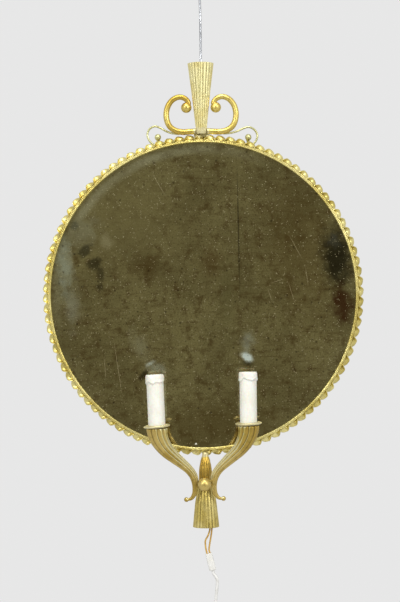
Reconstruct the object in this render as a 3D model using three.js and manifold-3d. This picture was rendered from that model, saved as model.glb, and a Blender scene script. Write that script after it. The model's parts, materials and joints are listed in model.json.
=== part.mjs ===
// Girandole mirror: a round wall mirror in a brass hoop with a twisted edge, a fluted crest with
// scrolls, and two fluted horns that carry electric candles in front of a fluted tassel.
// Millimetres. The wall is the plane y = 0 and the front faces -y, so a depth of 10 is y = -10.
// x is to the right as one faces the mirror, z is up, and the origin is behind the glass's centre.
import * as THREE from 'three';
import { mergeVertices } from 'three/addons/utils/BufferGeometryUtils.js';
import Module from 'manifold-3d';

const wasm = await Module();
wasm.setup();

// ---- driving dimensions -------------------------------------------------------------------
const CLEARANCE = 0.3;              // gap between two pieces that touch
const ROUND_STEPS = 48;             // facets round the large rings

// Back strap and the stack in front of it, from the wall forward.
const STRAP_THICKNESS = 4;
const STRAP_WIDTH = 16;
const STRAP_WAIST = 10;             // strap's width behind the tip of the bud
const WAIST_SLOPE = 9;              // height over which it narrows and widens again
const STRAP_OVER_PIN = 8;           // strap above the hanging pin
const STRAP_BELOW_SKIRT = 0.4;
const FLANGE_THICKNESS = 2;
const BOARD_THICKNESS = 4;
const GLASS_THICKNESS = 4;
const LIP_THICKNESS = 5;

// Hoop, glass and twisted edge.
const SIGHT_RADIUS = 248;           // clear opening of the front lip
const LIP_COVER = 1.8;              // how far the lip reaches over the glass
const GLASS_PLAY = 0.4;
const HOOP_WALL = 2.3;
const FLANGE_WIDTH = 4;
const TWIST_WIDTH = 13.6;           // flat strip before it is twisted
const TWIST_THICKNESS = 2;
const TWIST_SEAT = 0.4;             // gap under the strip where it stands on edge
const TWIST_LOBES = 96;             // half turns round the hoop
const TWIST_STEPS = 4;              // sections in each half turn
const TWIST_PHASE_DEG = 1;

// Clips that hold the board, on the rear flange.
const CLIP_COUNT = 4;
const CLIP_LENGTH = 22;
const CLIP_WIDTH = 8;
const CLIP_THICKNESS = 1.8;
const SCREW_RADIUS = 1.4;
const SCREW_PLAY = 0.1;
const SCREW_HEAD_RADIUS = 3;
const SCREW_HEAD_HEIGHT = 1.2;

// Countersunk screws from behind.
const STRAP_SCREW_RADIUS = 1.6;
const STRAP_HEAD_RADIUS = 3.4;
const HEAD_SINK = 0.4;              // how far a countersunk head lies below the wall face

// Crest.
const CREST_DEPTH = 14;             // axis of column and scrolls, from the wall
const TRIM_GAP = 0.8;               // from the twisted edge to the crest and to the tassel
const COLUMN_HEIGHT = 114.2;
const COLUMN_FOOT_RADIUS = 8.4;
const COLUMN_TOP_RADIUS = 21.4;
const COLUMN_WALL = 3;
const COLUMN_SOLID_HEIGHT = 38;     // foot of the column that isn't hollow
const COLUMN_REEDS = 18;
const REED_DEPTH = 1;
const PAD_HALF_WIDTH = 12.2;
const PAD_HEIGHT = 9.8;
const PAD_THICKNESS = 4.7;
const SCROLL_START = 9.9;            // end of a scroll's bar, beside the column
const SCROLL_RADIUS = 4.8;
const SCROLL_END_RADIUS = 3.9;
const SCROLL_BALL_RADIUS = 8.6;
const TENDRIL_RADIUS = 1.5;
const TENDRIL_DEPTH = 2.5;
const TENDRIL_BALL_RADIUS = 5.3;
const TENDRIL_BALL_REAR = 1.7;      // depth of the ball's rear
const TENDRIL_BALL_LIFT = 0.6;      // ball's centre above the wire's end

// Hanging pin and rod.
const PIN_HEIGHT = 83.2;            // above the column's foot
const PIN_RADIUS = 3;
const PIN_HEAD_RADIUS = 5.5;
const ROD_RADIUS = 2;
const ROD_PLAY = 0.4;
const ROD_DEPTH = 9.2;
const ROD_LENGTH = 149;             // between the centres of its eyes

// Tassel.
const TASSEL_DEPTH = 22;
const BUD_HEIGHT = 37.9;
const SKIRT_HEIGHT = 75.6;
const SKIRT_SOLID_HEIGHT = 22;
const SKIRT_WALL = 3;
const SKIRT_REEDS = 18;
const BUD_REEDS = 12;
const OUTLET_RISE = 26.6;           // underside of the outlet plate above the skirt's hem
const OUTLET_PLATE_THICKNESS = 3;

// Ball, stud and horns.
const HUB_X = -1.8;                 // the ball stands a little left of the axis
const HUB_DROP = 3.9;               // below the skirt's top
const BALL_RADIUS = 10.9;
const BALL_SEAT = 7.8;              // ball's centre in front of its flat rear
const STUD_RADIUS = 2.5;
const STUD_PLAY = 0.08;
const SPACER_RADIUS = 6;
const NECK_REAR_DEPTH = 12;         // floor of the neck's rear seat
const NECK_FRONT_DEPTH = 32;        // floor of the neck's front seat
const COLLAR_LENGTH = 6;
const EYE_RADIUS = 8;
const EYE_THICKNESS = 2.5;
const EYE_NECK = 4;                 // half width of the tab between an eye and its horn
const HORN_RISE = 95;               // mouth above the ball's centre
const HORN_SPREAD = 71;             // mouth's centre from the ball's centre
const HORN_FORWARD = 34;            // mouth's centre in front of the stud's eyes
const HORN_TIP_RADIUS = 3.8;
const HORN_MOUTH_RADIUS = 17;
const FLUTE_SHARE = 0.87;           // radius in the flutes as a share of the outer one
const HORN_FLUTES = 10;
const HORN_BORE_SHARE = 0.6;        // inner radius as a share of the outer one
const HORN_WEB = 5;                 // floor under the drip plate
const NIPPLE_ROOM = 8;              // hole under that floor for the nipple's end
const NIPPLE_DIP = 2;               // nipple's end below that floor
const HORN_WIRE_RADIUS = 1.2;
const LEFT_SAG_DEG = 2;
const RIGHT_SAG_DEG = 0;

// Candles.
const PLATE_RADIUS = 21.2;
const PLATE_THICKNESS = 3;
const PLATE_TILT_DEG = 2.4;         // both plates sit a little askew
const NIPPLE_RADIUS = 5;
const NIPPLE_BORE_RADIUS = 3.4;
const NIPPLE_LENGTH = 24;
const SOCKET_RADIUS = 11.3;
const SOCKET_BORE_RADIUS = 8.3;
const SOCKET_HEIGHT = 26;
const HOLDER_HEIGHT = 75;
const STEM_RADIUS = 6.8;
const SHELL_WALL = 0.9;
const SLEEVE_RADIUS = 13.6;
const SLEEVE_WALL = 1.3;
const SLEEVE_HEIGHT = 80;
const DRIP_RADIUS = 15.3;
const DRIP_HEIGHT = 14;

// Leads, connector, flex, coil and plug.
const LEAD_RADIUS = 1.4;
const CONNECTOR_WIDTH = 11;
const CONNECTOR_DEPTH = 9;
const CONNECTOR_TOP = [3.3, 22, 43.4];      // x, depth and drop below the skirt's hem
const CONNECTOR_BOTTOM = [10, 22, 70.4];
const FLEX_RADIUS = 2.5;
const COIL_LOOPS = 6;
const COIL_STEPS = 20;
const COIL_PITCH = 5.6;
const COIL_MEAN_RADIUS = 30;
const COIL_REAR_DEPTH = 10.4;
const COIL_ENTRY_X = 14;
const COIL_DROP = 174.4;            // coil's centre below the skirt's hem
const COIL_TAIL = 48;
const TIE_HEIGHT = 6;
const TIE_THICKNESS = 1.2;
const PLUG_WIDTH = 26;
const PLUG_THICKNESS = 13.6;
const PLUG_LENGTH = 35;
const PLUG_PIN_RADIUS = 2;
const PLUG_PIN_LENGTH = 19;
const PLUG_PIN_SPACING = 18;

// ---- sizes worked out from the driving ones -------------------------------------------------
const strapFront = STRAP_THICKNESS;
const flangeBack = strapFront + CLEARANCE;
const flangeFront = flangeBack + FLANGE_THICKNESS;
const boardFront = flangeBack + BOARD_THICKNESS;
const glassBack = boardFront + CLEARANCE;
const glassFront = glassBack + GLASS_THICKNESS;
const lipBack = glassFront + CLEARANCE;
const lipFront = lipBack + LIP_THICKNESS;
const glassRadius = SIGHT_RADIUS + LIP_COVER;
const hoopInner = glassRadius + GLASS_PLAY;
const hoopOuter = hoopInner + HOOP_WALL;
const flangeRadius = hoopOuter + FLANGE_WIDTH;
const twistInner = hoopOuter + CLEARANCE;
const twistRadius = twistInner + TWIST_SEAT + TWIST_THICKNESS / 2;
const twistDepth = flangeFront + CLEARANCE + TWIST_WIDTH / 2;
const screwCircle = (hoopInner + flangeRadius) / 2;
const clipFront = flangeBack - CLEARANCE;
const clipBack = clipFront - CLIP_THICKNESS;
const columnFootZ = twistRadius + TWIST_WIDTH / 2 + TRIM_GAP;
const columnTopZ = columnFootZ + COLUMN_HEIGHT;
const pinZ = columnFootZ + PIN_HEIGHT;
const rodTopZ = pinZ + ROD_LENGTH;
const strapTopZ = pinZ + STRAP_OVER_PIN;
const budTopZ = -columnFootZ;
const budBottomZ = budTopZ - BUD_HEIGHT;
const skirtTopZ = budBottomZ - CLEARANCE;
const skirtBottomZ = skirtTopZ - SKIRT_HEIGHT;
const strapBottomZ = skirtBottomZ - STRAP_BELOW_SKIRT;
const outletBottomZ = skirtBottomZ + OUTLET_RISE;
const hubZ = skirtTopZ - HUB_DROP;
const coilZ = skirtBottomZ - COIL_DROP;
const padFront = strapFront + CLEARANCE + PAD_THICKNESS;
const eyeRadius = PIN_RADIUS + ROD_PLAY + ROD_RADIUS;
const collarBack = NECK_FRONT_DEPTH + CLEARANCE;
const collarFront = collarBack + COLLAR_LENGTH;
const rightEyeBack = collarFront + CLEARANCE;
const leftEyeBack = rightEyeBack + EYE_THICKNESS + CLEARANCE;
const ballBack = leftEyeBack + EYE_THICKNESS + CLEARANCE;
const ballDepth = ballBack + BALL_SEAT;

// ---- small tools ------------------------------------------------------------------------------
// A point from x, depth and z.
function at(x, depth, z) {
  return new THREE.Vector3(x, -depth, z);
}

// Keeps positions only and joins equal ones, so that the surface is closed.
function weld(geometry) {
  const bare = geometry.clone();
  bare.deleteAttribute('normal');
  bare.deleteAttribute('uv');
  return mergeVertices(bare, 1e-4);
}

function volumeOf(geometry) {
  const p = geometry.attributes.position;
  const index = geometry.index;
  const a = new THREE.Vector3();
  const b = new THREE.Vector3();
  const c = new THREE.Vector3();
  let volume = 0;
  for (let i = 0; i < index.count; i += 3) {
    a.fromBufferAttribute(p, index.getX(i));
    b.fromBufferAttribute(p, index.getX(i + 1));
    c.fromBufferAttribute(p, index.getX(i + 2));
    volume += a.dot(b.cross(c)) / 6;
  }
  return volume;
}

// Welds a closed surface and turns its faces outward.
function outward(geometry) {
  const closed = weld(geometry);
  if (volumeOf(closed) < 0) {
    const index = Array.from(closed.index.array);
    for (let i = 0; i < index.length; i += 3) {
      [index[i], index[i + 1]] = [index[i + 1], index[i]];
    }
    closed.setIndex(index);
  }
  return closed;
}

function solidOf(geometry) {
  const closed = outward(geometry);
  return new wasm.Manifold(new wasm.Mesh({
    numProp: 3,
    vertProperties: new Float32Array(closed.attributes.position.array),
    triVerts: new Uint32Array(closed.index.array),
  }));
}

function geometryOf(solid) {
  const mesh = solid.getMesh();
  const geometry = new THREE.BufferGeometry();
  geometry.setAttribute('position', new THREE.BufferAttribute(new Float32Array(mesh.vertProperties), 3));
  geometry.setIndex(Array.from(mesh.triVerts));
  return geometry;
}

function cut(geometry, ...cutters) {
  let solid = solidOf(geometry);
  for (const cutter of cutters) {
    solid = solid.subtract(solidOf(cutter));
  }
  return geometryOf(solid);
}

function join(...geometries) {
  let solid = solidOf(geometries[0]);
  for (const other of geometries.slice(1)) {
    solid = solid.add(solidOf(other));
  }
  return geometryOf(solid);
}

// Skins rings of equal length. A ring is a list of points, and both ends are closed by a fan.
function loft(rings) {
  const sides = rings[0].length;
  const points = rings.flat();
  const index = [];
  for (let i = 0; i + 1 < rings.length; i += 1) {
    for (let j = 0; j < sides; j += 1) {
      const a = i * sides + j;
      const b = i * sides + (j + 1) % sides;
      index.push(a, b, b + sides, a, b + sides, a + sides);
    }
  }
  const last = (rings.length - 1) * sides;
  for (const [start, ring, flip] of [[0, rings[0], true], [last, rings.at(-1), false]]) {
    const centre = ring.reduce((sum, p) => sum.add(p), new THREE.Vector3()).divideScalar(sides);
    points.push(centre);
    for (let j = 0; j < sides; j += 1) {
      const a = start + j;
      const b = start + (j + 1) % sides;
      index.push(...(flip ? [b, a, points.length - 1] : [a, b, points.length - 1]));
    }
  }
  const geometry = new THREE.BufferGeometry().setFromPoints(points);
  geometry.setIndex(index);
  return outward(geometry);
}

// A ring round a tangent: reach(j) is the radius of its point j, counted from the depth axis.
function sectionRing(centre, tangent, sides, reach) {
  const across = new THREE.Vector3(0, -1, 0).cross(tangent).normalize();
  const forward = tangent.clone().cross(across).normalize();
  const ring = [];
  for (let j = 0; j < sides; j += 1) {
    const angle = (2 * Math.PI * j) / sides;
    const point = centre.clone();
    point.addScaledVector(forward, reach(j) * Math.cos(angle));
    point.addScaledVector(across, reach(j) * Math.sin(angle));
    ring.push(point);
  }
  return ring;
}

// Direction of a run of points at point i, the mean of the two stretches that meet there.
function tangentAt(points, i) {
  const before = points[Math.max(i - 1, 0)];
  const after = points[Math.min(i + 1, points.length - 1)];
  const tangent = new THREE.Vector3();
  if (i > 0) tangent.add(points[i].clone().sub(before).normalize());
  if (i + 1 < points.length) tangent.add(after.clone().sub(points[i]).normalize());
  return tangent.normalize();
}

// A round wire through points, with a radius or a function of the point's number.
function wire(points, radius, sides = 8) {
  const radiusAt = typeof radius === 'function' ? radius : () => radius;
  return loft(points.map((p, i) => sectionRing(p, tangentAt(points, i), sides, () => radiusAt(i))));
}

function curvePoints(points, steps) {
  return new THREE.CatmullRomCurve3(points, false, 'centripetal').getPoints(steps);
}

// A cord's free stretch: a round section extruded along a curve.
function cord(points, radius, steps, sides = 8) {
  const shape = new THREE.Shape();
  for (let j = 0; j < sides; j += 1) {
    const angle = (2 * Math.PI * j) / sides;
    const corner = [radius * Math.cos(angle), radius * Math.sin(angle)];
    if (j === 0) shape.moveTo(...corner);
    else shape.lineTo(...corner);
  }
  shape.closePath();
  const path = new THREE.CatmullRomCurve3(points, false, 'centripetal');
  return outward(new THREE.ExtrudeGeometry(shape, { steps, bevelEnabled: false, extrudePath: path }));
}

// Turned about the wall's normal through (x, z): profile points are [radius, depth].
function turnedForward(profile, x, z, steps = 12) {
  const geometry = new THREE.LatheGeometry(profile.map(([r, d]) => new THREE.Vector2(r, -d)), steps);
  geometry.translate(x, 0, z);
  return outward(geometry);
}

// Turned about a vertical axis at (x, depth): profile points are [radius, z].
function turnedUpright(profile, x = 0, depth = 0, steps = 20) {
  const geometry = new THREE.LatheGeometry(profile.map(([r, z]) => new THREE.Vector2(r, z)), steps);
  geometry.rotateX(Math.PI / 2);
  geometry.translate(x, -depth, 0);
  return outward(geometry);
}

// A ring profile for the two functions above, closed on itself.
function tubeProfile(inner, outer, low, high) {
  return [[inner, low], [outer, low], [outer, high], [inner, high], [inner, low]];
}

function rod(x, z, radius, back, front, steps = 12) {
  return turnedForward([[0, back], [radius, back], [radius, front], [0, front]], x, z, steps);
}

// A box from its limits in x, depth and z.
function block(x0, x1, back, front, z0, z1) {
  const geometry = new THREE.BoxGeometry(x1 - x0, front - back, z1 - z0);
  geometry.translate((x0 + x1) / 2, -(back + front) / 2, (z0 + z1) / 2);
  return geometry;
}

// A plate parallel to the wall, from a shape drawn in x and z.
function wallPlate(shape, back, front) {
  const geometry = new THREE.ExtrudeGeometry(shape, { depth: front - back, bevelEnabled: false, curveSegments: 8 });
  geometry.rotateX(Math.PI / 2);
  geometry.translate(0, -back, 0);
  return outward(geometry);
}

// Rings round a vertical axis with rounded reeds: stations are [z, radius].
function reeded(stations, depth, reeds, reedDepth, pointsPerReed = 3) {
  const sides = reeds * pointsPerReed;
  return loft(stations.map(([z, radius]) => {
    const bite = Math.min(reedDepth, 0.12 * radius);
    const ring = [];
    for (let j = 0; j < sides; j += 1) {
      const angle = (2 * Math.PI * (j + 0.5 * pointsPerReed)) / sides;
      const r = radius - bite * (1 - Math.sin((Math.PI * (j % pointsPerReed)) / pointsPerReed));
      ring.push(at(r * Math.sin(angle), depth + r * Math.cos(angle), z));
    }
    return ring;
  }));
}

function plainRound(stations, depth, sides = 24) {
  return loft(stations.map(([z, radius]) => {
    const ring = [];
    for (let j = 0; j < sides; j += 1) {
      const angle = (2 * Math.PI * j) / sides;
      ring.push(at(radius * Math.sin(angle), depth + radius * Math.cos(angle), z));
    }
    return ring;
  }));
}

function countersunk(radius, headRadius, tip, play = 0) {
  const head = headRadius + play;
  const shank = radius + play;
  const top = play > 0 ? -1 : HEAD_SINK;
  return [[0, top], [head, top], [head, HEAD_SINK], [shank, HEAD_SINK + head - shank], [shank, tip], [0, tip]];
}

// ---- materials and nodes --------------------------------------------------------------------
const COLOURS = {
  brass: [0xa18c4e, 0.38, 1],
  paleBrass: [0xb5a878, 0.42, 1],
  goldBrass: [0xb08f42, 0.35, 1],
  dullBrass: [0x8a8560, 0.5, 1],
  glass: [0x50482d, 0.08, 0.9],
  board: [0x5c4632, 0.85, 0],
  steel: [0x9a9c9e, 0.35, 1],
  darkSteel: [0x55504a, 0.5, 1],
  candle: [0xf4f0e4, 0.5, 0],
  porcelain: [0xe9e6dc, 0.3, 0],
  wire: [0xc9ac62, 0.45, 0],
  white: [0xeeece6, 0.4, 0],
};
const mirror = new THREE.Group();
mirror.name = 'girandole_mirror';

function addPiece(name, geometry, finish, parent = mirror) {
  const [color, roughness, metalness] = COLOURS[finish];
  const mesh = new THREE.Mesh(geometry, new THREE.MeshStandardMaterial({ color, roughness, metalness }));
  mesh.name = name;
  parent.add(mesh);
  return mesh;
}

// ---- hoop, glass and board ------------------------------------------------------------------
function disc(radius, back, front) {
  return turnedForward([[0, back], [radius, back], [radius, front], [0, front]], 0, 0, ROUND_STEPS);
}

const clipAngles = [];
for (let i = 0; i < CLIP_COUNT; i += 1) {
  clipAngles.push(Math.PI / 4 + (2 * Math.PI * i) / CLIP_COUNT);
}

function hoopGeometry() {
  const bevel = 1.3;
  const profile = [
    [hoopInner, flangeBack],
    [flangeRadius, flangeBack],
    [flangeRadius, flangeFront],
    [hoopOuter, flangeFront],
    [hoopOuter, lipFront - bevel],
    [hoopOuter - bevel, lipFront],
    [SIGHT_RADIUS + bevel, lipFront],
    [SIGHT_RADIUS, lipFront - bevel],
    [SIGHT_RADIUS, lipBack],
    [hoopInner, lipBack],
    [hoopInner, flangeBack],
  ];
  const holes = clipAngles.map((a) => rod(
    screwCircle * Math.cos(a),
    screwCircle * Math.sin(a),
    SCREW_RADIUS + SCREW_PLAY,
    flangeBack - 1,
    flangeFront + 0.2,
  ));
  for (const side of [1, -1]) {
    holes.push(rod(0, side * screwCircle, STRAP_SCREW_RADIUS + SCREW_PLAY, flangeBack - 1, flangeFront + 0.2));
  }
  return cut(turnedForward(profile, 0, 0, ROUND_STEPS), ...holes);
}

// How far the strip reaches from its centre line on the side that points inward at this turn.
function twistReach(cosine, sine) {
  const half = TWIST_WIDTH / 2;
  if (cosine >= 0) return half;
  const room = twistRadius - twistInner - (TWIST_THICKNESS / 2) * Math.abs(sine);
  return Math.min(half, room / -cosine);
}

// A flat strip that makes half a turn for each lobe, trimmed where it meets the hoop.
function twistGeometry() {
  const count = TWIST_LOBES * TWIST_STEPS;
  const points = [];
  const index = [];
  for (let i = 0; i < count; i += 1) {
    const angle = THREE.MathUtils.degToRad(TWIST_PHASE_DEG) + (2 * Math.PI * i) / count;
    const turn = (Math.PI * i) / TWIST_STEPS;
    const cosine = Math.cos(turn);
    const sine = Math.sin(turn);
    const plus = twistReach(cosine, sine);
    const minus = -twistReach(-cosine, sine);
    const half = TWIST_THICKNESS / 2;
    for (const [along, off] of [[plus, half], [plus, -half], [minus, -half], [minus, half]]) {
      const r = twistRadius + along * cosine - off * sine;
      const depth = twistDepth + along * sine + off * cosine;
      points.push(at(r * Math.cos(angle), depth, r * Math.sin(angle)));
    }
    for (let j = 0; j < 4; j += 1) {
      const a = i * 4 + j;
      const b = i * 4 + (j + 1) % 4;
      const c = ((i + 1) % count) * 4 + j;
      const d = ((i + 1) % count) * 4 + (j + 1) % 4;
      index.push(a, b, d, a, d, c);
    }
  }
  const geometry = new THREE.BufferGeometry().setFromPoints(points);
  geometry.setIndex(index);
  return outward(geometry);
}

addPiece('rim_ring', hoopGeometry(), 'brass');
addPiece('twisted_trim', twistGeometry(), 'brass');
addPiece('mirror_plate', disc(glassRadius, glassBack, glassFront), 'glass');
addPiece('backing_board', disc(glassRadius, flangeBack, boardFront), 'board');

// A clip points from its screw to the centre and lies over the board's edge.
function clipGeometry(angle) {
  const half = CLIP_WIDTH / 2;
  const shape = new THREE.Shape();
  shape.absarc(0, 0, half, -Math.PI / 2, Math.PI / 2, false);
  shape.lineTo(half - CLIP_LENGTH + 1, half);
  shape.lineTo(half - CLIP_LENGTH, half - 1);
  shape.lineTo(half - CLIP_LENGTH, 1 - half);
  shape.lineTo(half - CLIP_LENGTH + 1, -half);
  shape.closePath();
  const hole = rod(0, 0, SCREW_RADIUS + SCREW_PLAY, clipBack - 1, clipFront + 1, 12);
  const geometry = cut(wallPlate(shape, clipBack, clipFront), hole);
  geometry.rotateY(-angle);
  return geometry;
}

clipAngles.forEach((angle, i) => {
  const x = screwCircle * Math.cos(angle);
  const z = screwCircle * Math.sin(angle);
  const clip = addPiece(`turn_clip_${i + 1}`, clipGeometry(angle), 'darkSteel');
  clip.position.set(x, 0, z);
  const headFront = clipBack - SCREW_PLAY;
  const profile = [
    [0, headFront - SCREW_HEAD_HEIGHT],
    [SCREW_HEAD_RADIUS, headFront - SCREW_HEAD_HEIGHT],
    [SCREW_HEAD_RADIUS, headFront],
    [SCREW_RADIUS, headFront],
    [SCREW_RADIUS, flangeFront],
    [0, flangeFront],
  ];
  addPiece(`clip_screw_${i + 1}`, turnedForward(profile, x, z, 12), 'steel');
});

// ---- strap and its screws ---------------------------------------------------------------------
const padScrewZ = columnFootZ + PAD_HEIGHT / 2;
const columnScrewZ = columnFootZ + 22;
const strapScrews = [
  ['strap_screw_top', screwCircle, flangeFront],
  ['strap_screw_bottom', -screwCircle, flangeFront],
  ['foot_screw', padScrewZ, padFront - 1],
  ['column_screw', columnScrewZ, CREST_DEPTH - 1],
];

function strapGeometry() {
  const wide = STRAP_WIDTH / 2;
  const waist = STRAP_WAIST / 2;
  const waistTop = -screwCircle - STRAP_HEAD_RADIUS;
  const side = [
    [wide, strapTopZ],
    [wide, waistTop + WAIST_SLOPE],
    [waist, waistTop],
    [waist, budTopZ],
    [wide, budTopZ - WAIST_SLOPE],
    [wide, strapBottomZ],
  ];
  const outline = [...side, ...side.map(([x, z]) => [-x, z]).reverse()];
  const strap = wallPlate(new THREE.Shape(outline.map(([x, z]) => new THREE.Vector2(x, z))), 0, STRAP_THICKNESS);
  const holes = strapScrews.map(([, z]) => turnedForward(
    countersunk(STRAP_SCREW_RADIUS, STRAP_HEAD_RADIUS, STRAP_THICKNESS + 1, 0.2),
    0,
    z,
  ));
  const studHole = countersunk(STUD_RADIUS, STRAP_HEAD_RADIUS + 1, STRAP_THICKNESS + 1, 0.2);
  holes.push(turnedForward(studHole, HUB_X, hubZ));
  holes.push(rod(0, pinZ, PIN_RADIUS - 0.5 + SCREW_PLAY, -1, STRAP_THICKNESS + 1));
  return cut(strap, ...holes);
}

addPiece('back_strap', strapGeometry(), 'dullBrass');
for (const [name, z, tip] of strapScrews) {
  const profile = countersunk(STRAP_SCREW_RADIUS, STRAP_HEAD_RADIUS, tip);
  addPiece(name, turnedForward(profile, 0, z), 'steel');
}

// ---- hanging pin and rod -------------------------------------------------------------------------
const pinShoulder = ROD_DEPTH - ROD_RADIUS - CLEARANCE;
const pinHead = ROD_DEPTH + ROD_RADIUS + CLEARANCE;
addPiece('hanging_pin', turnedForward([
  [0, HEAD_SINK],
  [PIN_RADIUS - 0.5, HEAD_SINK],
  [PIN_RADIUS - 0.5, strapFront + CLEARANCE],
  [PIN_HEAD_RADIUS, strapFront + CLEARANCE],
  [PIN_HEAD_RADIUS, pinShoulder],
  [PIN_RADIUS, pinShoulder],
  [PIN_RADIUS, pinHead],
  [PIN_HEAD_RADIUS, pinHead],
  [PIN_HEAD_RADIUS, pinHead + 1.5],
  [0, pinHead + 1.5],
], 0, pinZ), 'steel');

// An open eye of bent wire round a centre: up is 1 where the wire leaves it upward.
function eyeBend(centreZ, up) {
  const points = [];
  for (let degrees = 35; degrees >= -235; degrees -= 27) {
    const a = THREE.MathUtils.degToRad(degrees);
    points.push(at(eyeRadius * Math.cos(a), ROD_DEPTH, centreZ + up * eyeRadius * Math.sin(a)));
  }
  points.push(at(-0.6, ROD_DEPTH, centreZ + up * (eyeRadius + 4)));
  points.push(at(0, ROD_DEPTH, centreZ + up * (eyeRadius + 8)));
  return points;
}

const rodPoints = [...eyeBend(pinZ, 1), ...eyeBend(rodTopZ, -1).reverse()];
addPiece('hanging_rod', wire(rodPoints, ROD_RADIUS, 6), 'steel');

// ---- crest -------------------------------------------------------------------------------------
function columnGeometry() {
  const flare = COLUMN_TOP_RADIUS - COLUMN_FOOT_RADIUS;
  // The side widens a little faster at the top than at the foot.
  const radiusAt = (s) => COLUMN_FOOT_RADIUS + flare * (0.82 * s + 0.18 * s * s);
  const outer = [0, 0.12, 0.3, 0.5, 0.75, 1].map((s) => [columnFootZ + s * COLUMN_HEIGHT, radiusAt(s)]);
  const floor = COLUMN_SOLID_HEIGHT / COLUMN_HEIGHT;
  const inner = [floor, 0.65, 1.05].map((s) => [columnFootZ + s * COLUMN_HEIGHT, radiusAt(s) - COLUMN_WALL]);
  const back = strapFront + CLEARANCE;
  const reach = 2 * COLUMN_TOP_RADIUS;
  return cut(
    reeded(outer, CREST_DEPTH, COLUMN_REEDS, REED_DEPTH),
    plainRound(inner, CREST_DEPTH, 18),
    block(-reach, reach, back - reach, back, columnFootZ - 1, columnTopZ + 1),
    block(
      -PAD_HALF_WIDTH - CLEARANCE,
      PAD_HALF_WIDTH + CLEARANCE,
      0,
      padFront + CLEARANCE,
      columnFootZ - 1,
      columnFootZ + PAD_HEIGHT + CLEARANCE,
    ),
    rod(0, columnScrewZ, STRAP_SCREW_RADIUS + SCREW_PLAY, back - 1, CREST_DEPTH),
  );
}

addPiece('crest_column', columnGeometry(), 'paleBrass');
const padBody = block(
  -PAD_HALF_WIDTH,
  PAD_HALF_WIDTH,
  strapFront + CLEARANCE,
  padFront,
  columnFootZ,
  columnFootZ + PAD_HEIGHT,
);
addPiece('crest_foot', cut(
  padBody,
  rod(0, padScrewZ, STRAP_SCREW_RADIUS + SCREW_PLAY, strapFront, padFront - 0.7),
), 'paleBrass');

// Centre line of a scroll, from beside the column out, up and in to its ball.
function scrollGeometry(side) {
  const low = columnFootZ + SCROLL_RADIUS;
  const line = [
    [SCROLL_START, low],
    [20, low - 0.5],
    [30, low - 0.9],
    [41, low + 1],
    [50, low + 6.5],
    [55.2, low + 16],
    [56.6, low + 29],
    [53.1, low + 42],
    [45.3, low + 51.5],
    [34.8, low + 55.4],
    [25.4, low + 52.4],
    [20.4, low + 45.5],
    [22.4, low + 39],
  ].map(([x, z]) => at(side * x, CREST_DEPTH, z));
  const points = curvePoints(line, 22);
  const radiusAt = (i) => THREE.MathUtils.lerp(SCROLL_RADIUS, SCROLL_END_RADIUS, (i / 22) ** 3);
  const ball = new THREE.SphereGeometry(SCROLL_BALL_RADIUS, 12, 7);
  const end = at(side * 24, CREST_DEPTH, low + 38);
  ball.translate(end.x, end.y, end.z);
  return join(wire(points, radiusAt, 8), ball);
}

// Centre lines of the wire tendrils, as x from the middle, depth behind the last bend and height over
// the column's foot. They are bent by hand, so the right one reaches out further and stands lower.
const tendrilLines = {
  left: [
    [36, 3.9, 0.8],
    [48, 2.9, 2.4],
    [58, 1.1, 6.4],
    [66, 0, 11.2],
    [75.5, 0, 14.3],
    [84, 0, 10.4],
    [88, 0, 2.2],
    [86.6, 0, -5.8],
    [81.8, 0, -12.8],
    [75.4, 0, -16.6],
    [70.8, 0, -14.6],
    [70.4, 1, -9.6],
    [70.9, 3.5, -4.8],
  ],
  right: [
    [36, 3.9, 0.8],
    [48, 2.9, 1.8],
    [58.5, 1.1, 4.6],
    [67.5, 0, 8.8],
    [77.6, 0, 11.4],
    [86.8, 0, 6.8],
    [91.4, 0, -1.6],
    [90.2, 0, -9],
    [86, 0, -15.2],
    [80.4, 0, -18.6],
    [76.4, 0, -16.8],
    [75.9, 1, -11.4],
    [76.4, 3.5, -6.4],
  ],
};

// A tendril springs from under its scroll, drops behind the rim and ends in a small ball.
function tendrilGeometry(name, side) {
  const line = tendrilLines[name].map(([x, forward, rise]) => (
    at(side * x, TENDRIL_DEPTH + forward, columnFootZ + rise)
  ));
  const end = line.at(-1);
  const ball = new THREE.SphereGeometry(TENDRIL_BALL_RADIUS, 10, 6);
  ball.translate(end.x, -TENDRIL_BALL_REAR - TENDRIL_BALL_RADIUS, end.z + TENDRIL_BALL_LIFT);
  return join(wire(curvePoints(line, 20), TENDRIL_RADIUS, 6), ball);
}

for (const [name, side] of [['left', -1], ['right', 1]]) {
  addPiece(`scroll_${name}`, scrollGeometry(side), 'goldBrass');
  addPiece(`tendril_${name}`, tendrilGeometry(name, side), 'dullBrass');
}

// ---- tassel --------------------------------------------------------------------------------------
const skirtStations = [
  [skirtTopZ, 11],
  [skirtTopZ - 9, 12.3],
  [skirtTopZ - 20, 14.4],
  [skirtTopZ - 33, 17],
  [skirtTopZ - 50, 19],
  [skirtBottomZ, 21.5],
];
const skirtFloor = skirtTopZ - SKIRT_SOLID_HEIGHT;

// Outer radius of the skirt at a height, between its stations.
function skirtRadius(z) {
  for (let i = 0; i + 1 < skirtStations.length; i += 1) {
    const [z0, r0] = skirtStations[i];
    const [z1, r1] = skirtStations[i + 1];
    if (z >= z1) return THREE.MathUtils.mapLinear(z, z0, z1, r0, r1);
  }
  return skirtStations.at(-1)[1];
}

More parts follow.
